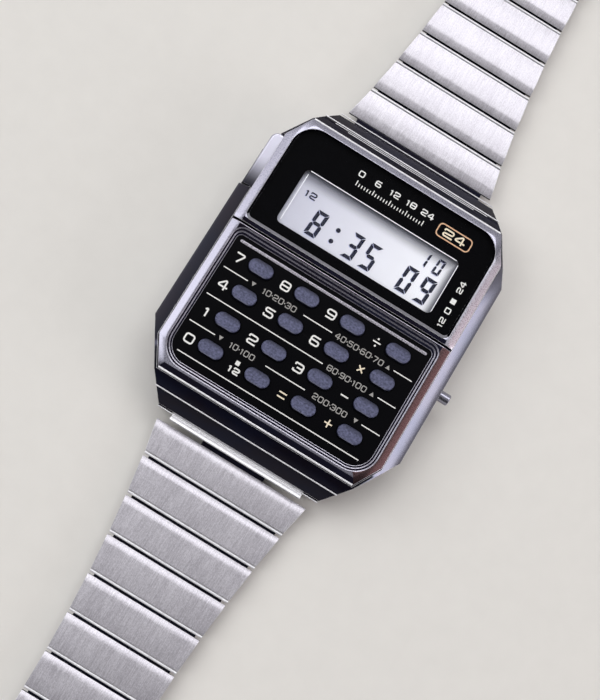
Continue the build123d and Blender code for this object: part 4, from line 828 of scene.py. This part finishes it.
def window_prints(z, thickness):
    """A plain number in a rounded outline, a scale of numbers and the side marks."""
    outline, badge, scale, marks = (bmesh.new() for _ in range(4))
    add_frame(outline, *BADGE_PLACE, 4.8, 1.75, 0.5, 0.16, z)
    add_number(badge, "24", *BADGE_PLACE, 1.5, 1.1, 0.21, z)
    for index, number in enumerate(SCALE_NUMBERS):
        add_number(scale, number, SCALE_LEFT + index * SCALE_PITCH, 15.75, 0.85, 0.85, 0.15, z)
    for index in range((len(SCALE_NUMBERS) - 1) * TICKS_BETWEEN + 1):
        x = SCALE_LEFT + index * SCALE_PITCH / TICKS_BETWEEN
        tall = 0.42 if index % TICKS_BETWEEN else 0.7
        add_patch(scale, x - 0.06, x + 0.06, 14.05, 14.05 + tall, z)
    add_frame(marks, SIDE_MARKS_X, 6.4, 0.66, 0.66, 0.0, 0.15, z)
    add_patch(marks, SIDE_MARKS_X - 0.35, SIDE_MARKS_X + 0.35, 7.45, 8.15, z)
    for number, y in (("24", 9.9), ("12", 4.7)):
        add_number(marks, number, SIDE_MARKS_X, y, 0.78, 0.78, 0.14, z, pi / 2)
    print_pieces({"window_badge_outline": (outline, "epoxy_ink_pad_printed_peach"),
                  "window_badge_number": (badge, CREAM_INK),
                  "window_scale": (scale, WHITE_INK),
                  "window_side_marks": (marks, WHITE_INK)}, thickness)


class WATCH_OT_window(bpy.types.Operator):
    """Finishes the window, its mask and its prints"""
    bl_idname = "watch.window"
    bl_label = "Window"

    def execute(self, context):
        def lower_bevel(bm, narrow):
            # The lower bevel takes the painted highlight
            for face in bm.faces:
                if face.normal.y < -SLOPED and face.normal.z > SLOPED:
                    face.material_index = 1

        dressed("window_glass", [window_glass(), "mineral_glass_ground"], sort_faces=lower_bevel)
        in_place("window_mask", finish("enamel_ink_screen_printed"))
        low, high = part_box("window_mask")
        aperture_edge(low.z / MM)
        window_prints(high.z / MM - PRINT_SINK, context.scene.watch_prints.thickness)
        return {"FINISHED"}


SEGMENT_THICKNESS = 0.01  # mm


def draw_digits(prints, name, ink, z, dx, dy):
    """The time and its colon, the day and the small pair above it, and the small number."""
    bm = bmesh.new()
    # Digits, their places along X, their middle's Y, width, height and stroke, in mm
    for digits, places, y, width, height, stroke in (
            (prints.time_text, (-6.69, -1.29, 1.3), 7.2, 1.68, 3.6, 0.48),
            (prints.day_text, (6.74, 9.41), 7.2, 1.68, 3.6, 0.48),
            ("10", (7.35, 9.43), 10.75, 1.05, 2.2, 0.31)):
        for digit, x in zip(digits, places):
            add_segment_digit(bm, digit, x + dx, y + dy, width, height, stroke, z)
    for x, y in ((-3.93, 7.98), (-4.03, 6.3)):
        add_dot(bm, x + dx, y + dy, 0.31, z)
    add_number(bm, "12", -9.25 + dx, 10.05 + dy, 0.95, 0.95, 0.19, z)
    print_pieces({name: (bm, ink)}, SEGMENT_THICKNESS)


class WATCH_OT_display(bpy.types.Operator):
    """Finishes the display cell and draws its digits"""
    bl_idname = "watch.display"
    bl_label = "Display"

    def execute(self, context):
        prints = context.scene.watch_prints
        in_place("lcd_cell", display_film())
        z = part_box("lcd_cell")[1].z / MM
        for name, ink, lift, dx, dy in (
                ("display_digits", "liquid_crystal_switched_on", 0.02, 0.0, 0.0),
                ("display_digit_shadows", "polariser_film_shaded", 0.002, -0.06, -0.1)):
            draw_digits(prints, name, ink, z + lift, dx, dy)
        # A painted highlight: a thin bright bar just inside the display's left edge
        bm = bmesh.new()
        add_bar(bm, -10.98, -10.86, 5.3, 12.2, z + 0.002, z + 0.012)
        to_piece("display_edge_light", bm, [BRIGHT], "case")
        return {"FINISHED"}


# Between the rows of keys, in mm: the spans of each rule, and the marks in its gaps
RULES = (
    ((-13.7, -10.2), (-2.1, 2.1), (11.1, 13.75)),
    ((-13.74, 3.1), (11.1, 13.7)),
    ((-13.76, -10.1), (-2.8, 2.9), (11.1, 13.74)),
    ((-13.07, 13.02),),
)
MARKS = (
    (("down", -9.4), ("10.20.30", -5.6), ("40.50.60.70", 6.1), ("up", 10.3)),
    (("80.90.100", 6.6), ("up", 10.3)),
    (("down", -9.3), ("10.100", -6.2), ("200.300", 6.5), ("down", 10.2)),
    (),
)
RULE_DROP = 2.12  # from the middle of a row of keys to the rule below it
RULE_HALF = 0.065
TRIANGLE_HALF = (0.31, 0.28)
KEY_TOP_NORMAL = 0.35  # share of a face's normal from which it belongs to a key's top
# Sizes in the legends as shares of a digit's height
HALF_SIGN = 0.42
DIGIT_WIDTH = 1.06
DIGIT_PEN = 0.17
SIGN_PEN = 0.14


def draw_legends(prints, z):
    """A digit or a sign to the left of each key."""
    digits = bmesh.new()
    signs = bmesh.new()
    height = prints.digit_height
    half = height * HALF_SIGN
    pen = height * SIGN_PEN
    for node in KEY_NAMES:
        x, y = (a + b for a, b in zip(middle_of(node), prints.legend_offset))
        kind = node.removeprefix("key_")
        level = [(x - half, y), (x + half, y)]
        if kind.isdigit():
            add_number(digits, kind, x, y, height * DIGIT_WIDTH, height, height * DIGIT_PEN, z)
        elif kind == "point":
            add_patch(digits, x - 0.28, x + 0.28, y + 0.22, y + 0.78, z)
            add_number(digits, "12", x, y - 0.5, 0.9, 0.9, 0.2, z)
        elif kind == "equals":
            for dy in (0.3, -0.3):
                draw_stroke(signs, [(px, py + dy) for px, py in level], 0, pen, z)
        elif kind in ("plus", "times"):
            add_cross(signs, x, y, half, pen, pi / 4 if kind == "times" else 0.0, z)
        else:
            draw_stroke(digits, level, 0, pen, z)
            for dy in (0.48, -0.48) if kind == "divide" else ():
                add_dot(digits, x, y + dy, pen * 0.75, z)
    print_pieces({"key_digits": (digits, WHITE_INK), "key_signs": (signs, CREAM_INK)},
                 prints.thickness)


def draw_rules(prints, z):
    """The fine rules between the rows, with small triangles and numbers in their gaps."""
    lines = bmesh.new()
    marks = bmesh.new()
    rows = sorted({round(middle_of(node)[1], 3) for node in KEY_NAMES}, reverse=True)
    for row_y, spans, row_marks in zip(rows, RULES, MARKS):
        y = row_y - RULE_DROP
        for x0, x1 in spans:
            add_patch(lines, x0, x1, y - RULE_HALF, y + RULE_HALF, z)
        for mark, x in row_marks:
            if mark in ("up", "down"):
                half, tip = TRIANGLE_HALF
                tip *= -1 if mark == "down" else 1
                add_outline(marks, [(x - half, y - tip), (x + half, y - tip), (x, y + tip)], z)
            else:
                add_number(marks, mark, x, y, 0.68, 0.8, 0.125, z)
    print_pieces({"panel_rules": (lines, WHITE_INK),
                  "panel_marks": (marks, "epoxy_ink_pad_printed_grey")},
                 prints.thickness)


class WATCH_OT_keypad(bpy.types.Operator):
    """Finishes the keypad panel, its keys and its prints"""
    bl_idname = "watch.keypad"
    bl_label = "Keypad"

    def execute(self, context):
        prints = context.scene.watch_prints
        # The trim bar's paler steel is a painted highlight
        for node, name in (("keypad_plate", "polycarbonate_hard_coated"),
                           ("keypad_trim_bar", "stainless_steel_blasted_pale")):
            dressed(node, [name], context.scene.watch_edges.small_edge)
        panel_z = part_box("keypad_plate")[1].z

        def key_sides(bm, narrow):
            seen = [v.co.y for v in bm.verts if v.co.z > panel_z]
            low, high = min(seen), max(seen)
            layer = bm.verts.layers.float.new("height_on_key")
            for vert in bm.verts:
                vert[layer] = (vert.co.y - low) / (high - low)
            for face in bm.faces:
                face.material_index = 0 if face.normal.z > KEY_TOP_NORMAL else 1

        top = key_rubber()
        for node in KEY_NAMES:
            dressed(node, [top, "silicone_rubber_side"], sort_faces=key_sides)
        draw_legends(prints, panel_z / MM)
        draw_rules(prints, panel_z / MM)
        return {"FINISHED"}


class WATCH_OT_buttons(bpy.types.Operator):
    """Finishes the two buttons"""
    bl_idname = "watch.buttons"
    bl_label = "Buttons"

    def execute(self, context):
        low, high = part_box("mode_button")
        for node, steel in (("mode_button", button_steel(low.y, high.y)),
                            ("adjust_button", STEEL)):
            dressed(node, [steel, BRIGHT], context.scene.watch_edges.small_edge,
                    wanted=long_enough)
        return {"FINISHED"}


class WATCH_OT_module(bpy.types.Operator):
    """Finishes the pieces inside the case, and the screws of its back"""
    bl_idname = "watch.module"
    bl_label = "Module"

    def execute(self, context):
        for part in RECORD["subparts"]:
            if part["material_slot"] in INNER_FINISHES:
                in_place(part["node"], finish(INNER_FINISHES[part["material_slot"]]))
        return {"FINISHED"}


# Sizes on a link, in mm, and shares of a face's normal
PLATE_LOW = 1.6  # what lies lower is deep between the links
LIP_END = 23.86  # where the first link's lip towards the case ends
LIP_BEAD_Z = 2.0
BEAD_WIDTH = 0.37
FACING_UP = 0.1
FACING_ALONG = 0.85


def bead_and_recess(bm, narrow):
    """The bead at a link's far end takes a painted highlight; what lies deep between the links and
    the plate ends facing along the strap take painted shade.
    """
    far = max(abs(v.co.y) for v in bm.verts if v.co.z > PLATE_LOW * MM)
    for face in bm.faces:
        middle = face.calc_center_median()
        high = middle.z > PLATE_LOW * MM
        up = face.normal.z > FACING_UP
        # On the first link's lip, the lower strap's bead takes a painted highlight and the rest
        # painted shade
        if abs(middle.y) < (LIP_END - 0.01) * MM:
            bead = middle.y < 0 and middle.z > LIP_BEAD_Z * MM
            face.material_index = BRIGHT_FACE if bead else BLACK_FACE
        elif high and up and abs(middle.y) > far - BEAD_WIDTH * MM:
            face.material_index = BRIGHT_FACE
        elif (up and middle.z < PLATE_LOW * MM) or abs(face.normal.y) > FACING_ALONG:
            face.material_index = BLACK_FACE


def plate_edges(edge):
    """The long edges of a link's plate, above its knuckles."""
    return min(v.co.z for v in edge.verts) > PLATE_LOW * MM and long_enough(edge)


class WATCH_OT_bracelet(bpy.types.Operator):
    """Finishes the links, the ladder tail and the clasp"""
    bl_idname = "watch.bracelet"
    bl_label = "Bracelet"

    def execute(self, context):
        edges = context.scene.watch_edges
        brushed = link_steel()
        for node in LINK_NAMES:
            lip = -LIP_END if node.startswith("lower") else LIP_END
            dressed(node, [brushed, BRIGHT, BLACK], edges.link_edge, 2, plate_edges,
                    bead_and_recess, (("y", lip),) if node.endswith("_1") else ())
        for node, finishes, width in (
                ("ladder_tail", [brushed, BRIGHT], edges.link_edge),
                ("clasp_cover", [brushed, BRIGHT], edges.link_edge),
                ("clasp_blade", ["stainless_steel_tumbled"], edges.small_edge),
                ("clasp_lock", ["stainless_steel_tumbled"], edges.small_edge)):
            dressed(node, finishes, width, wanted=long_enough)
        return {"FINISHED"}


WHITE = (1.0, 1.0, 1.0)
# Place, aim, width, depth and colour of each lamp, in metres
LAMPS = {
    "key": ((0.0, 0.29, 0.44), (0, 0, 0), 0.42, 0.2, WHITE),
    "left": ((-0.36, -0.02, 0.34), (0, 0, 0), 0.3, 0.3, WHITE),
    "strap": ((-0.13, -0.12, 0.24), (0, -0.05, 0), 0.1, 0.12, WHITE),
    "right": ((0.42, 0.05, 0.30), (0, 0, 0), 0.3, 0.3, (1.0, 0.6, 0.56)),
    "low": ((0.45, 0.0, 0.17), (0, 0, 0), 0.3, 0.16, WHITE),
}
FLOOR_HALF = 2.5
FLOOR_FADES = (0.2, 0.6)  # from the watch, in metres
OPENING_TILT = radians(9.5)
OPENING_EDGE = (cos(radians(17)), cos(radians(11)))


def background_rays(tree, glossy_share=1.0):
    """1 for the rays that show the pale background: those of camera, glass and metal."""
    path = put(tree, "LightPath").outputs
    rays = put(tree, "Math", {0: path["Is Glossy Ray"], 1: glossy_share}, operation="MULTIPLY")
    for kind in ("Is Camera Ray", "Is Transmission Ray"):
        rays = put(tree, "Math", {0: path[kind], 1: rays.outputs["Value"]}, operation="MAXIMUM")
    return rays.outputs["Value"]


def add_floor(lights):
    """A plain pale floor that the case back rests on."""
    # Coated paper, rolled out: an even pale tone that runs out into the wall
    material, tree, shader, fibres = new_material("coated_paper", 3.0, None, {"Roughness": 0.85})
    colour = put(tree, "Mix", {0: fibres, FIRST: lights.floor_colour,
                               SECOND: "#e4e2de"}, **COLOURS).outputs[MIXED]
    feed(shader, {"Base Color": colour})
    where = put(tree, "TexCoord").outputs["Object"]
    away = put(tree, "VectorMath", {0: where}, operation="LENGTH").outputs["Value"]
    far = put(tree, "MapRange", over(away, *FLOOR_FADES), **SMOOTH).outputs["Result"]
    share = put(tree, "Math", {0: far, 1: background_rays(tree)}, operation="MULTIPLY")
    wall = put(tree, "Emission", {"Color": WALL_COLOUR}).outputs["Emission"]
    show_by_share(tree, share.outputs["Value"], shader, wall)
    bm = bmesh.new()
    bmesh.ops.create_grid(bm, x_segments=2, y_segments=2, size=FLOOR_HALF)
    floor = to_object("floor", bm, [material])


def set_world(lights):
    """A light tent: bright overhead, dark where the camera's opening is and at the horizon."""
    world = bpy.data.worlds.new("studio")
    bpy.context.scene.world = world
    world.use_nodes = True
    tree = world.node_tree
    tree.nodes.clear()
    where = put(tree, "TexCoord").outputs["Generated"]
    place = put(tree, "SeparateXYZ", {"Vector": where}).outputs
    opening = Vector((0.0, sin(OPENING_TILT), cos(OPENING_TILT)))
    towards = put(tree, "VectorMath", {0: where, 1: opening}, operation="DOT_PRODUCT")
    level = lights.world_level
    for socket, *span in ((towards.outputs["Value"], *OPENING_EDGE, 1.0, 0.05),
                          (place["Z"], 0.25, 0.65, 0.12, 1.0),
                          (place["X"], -0.6, 0.6, 1.4, 0.6),
                          (place["Y"], -0.45, 0.0, 0.1, 1.0)):
        part = put(tree, "MapRange", over(socket, *span), **SMOOTH).outputs["Result"]
        level = put(tree, "Math", {0: part, 1: level}, operation="MULTIPLY").outputs["Value"]
    tent = put(tree, "Background", {"Color": (1.0, 0.99, 0.985, 1.0), "Strength": level})
    wall = put(tree, "Background", {"Color": WALL_COLOUR, "Strength": 1.0})
    band = put(tree, "MapRange", over(place["Z"], 0.15, 0.35, 1.0, 0.0), **SMOOTH)
    mix = put(tree, "MixShader", {0: background_rays(tree, band.outputs["Result"]),
                                  1: tent.outputs["Background"], 2: wall.outputs["Background"]})
    put(tree, "OutputWorld", {"Surface": mix.outputs["Shader"]})


def add_lamp(name, power, place, aim, width, depth, colour):
    """A soft rectangular lamp that looks at a point."""
    data = bpy.data.lights.new(name, "AREA")
    data.shape = "RECTANGLE"
    data.size = width
    data.size_y = depth
    data.energy = power
    data.color = colour
    lamp = linked(name, data)
    lamp.location = place
    lamp.rotation_euler = (Vector(aim) - Vector(place)).to_track_quat("-Z", "Y").to_euler()


def set_camera(settings):
    """The camera at the photograph's viewing angle."""
    data = bpy.data.cameras.new("camera")
    data.lens = settings.lens
    data.sensor_width = 36.0
    data.sensor_fit = "AUTO"
    data.clip_start = 0.005
    data.clip_end = 20.0
    turn = (Matrix.Rotation(settings.roll, 3, "Z") @ Matrix.Rotation(settings.tilt_x, 3, "X")
            @ Matrix.Rotation(settings.tilt_y, 3, "Y"))
    back = turn.transposed()
    place = back @ Vector((-settings.offset[0], -settings.offset[1], settings.distance))
    camera = linked("camera", data)
    camera.matrix_world = Matrix.Translation(place) @ back.to_4x4()
    bpy.context.scene.camera = camera


class WATCH_OT_stage(bpy.types.Operator):
    """Sets up the floor, the lamps, the world and the camera"""
    bl_idname = "watch.stage"
    bl_label = "Stage"

    def execute(self, context):
        lights = context.scene.watch_lights
        add_floor(lights)
        set_world(lights)
        for name, lamp in LAMPS.items():
            add_lamp(f"{name}_lamp", getattr(lights, f"{name}_power"), *lamp)
        set_camera(context.scene.watch_camera)
        context.scene.view_settings.view_transform = "Standard"
        return {"FINISHED"}


class WATCH_PT_panel(bpy.types.Panel):
    """Lists the steps that dress the watch"""
    bl_idname = "WATCH_PT_panel"
    bl_label = "Calculator watch"
    bl_space_type = "VIEW_3D"
    bl_region_type = "UI"
    bl_category = "Watch"

    def draw(self, context):
        for operator in OPERATORS:
            self.layout.operator(operator.bl_idname)


SETTINGS = {
    "watch_camera": WatchCameraSettings,
    "watch_lights": WatchLightSettings,
    "watch_prints": WatchPrintSettings,
    "watch_edges": WatchEdgeSettings,
}
OPERATORS = (WATCH_OT_stage, WATCH_OT_case, WATCH_OT_window, WATCH_OT_display, WATCH_OT_keypad,
             WATCH_OT_buttons, WATCH_OT_module, WATCH_OT_bracelet)


def register():
    """Registers the settings, the operators and the panel."""
    for name, group in SETTINGS.items():
        bpy.utils.register_class(group)
        setattr(bpy.types.Scene, name, PointerProperty(type=group))
    for operator in OPERATORS:
        bpy.utils.register_class(operator)
    bpy.utils.register_class(WATCH_PT_panel)


def unregister():
    """Takes them all away again."""
    bpy.utils.unregister_class(WATCH_PT_panel)
    for operator in reversed(OPERATORS):
        bpy.utils.unregister_class(operator)
    for name, group in SETTINGS.items():
        delattr(bpy.types.Scene, name)
        bpy.utils.unregister_class(group)


def main():
    """Dresses the watch."""
    register()
    for operator in OPERATORS:
        group, name = operator.bl_idname.split(".")
        getattr(getattr(bpy.ops, group), name)()
    bpy.context.view_layer.update()


if __name__ == "__main__":
    main()
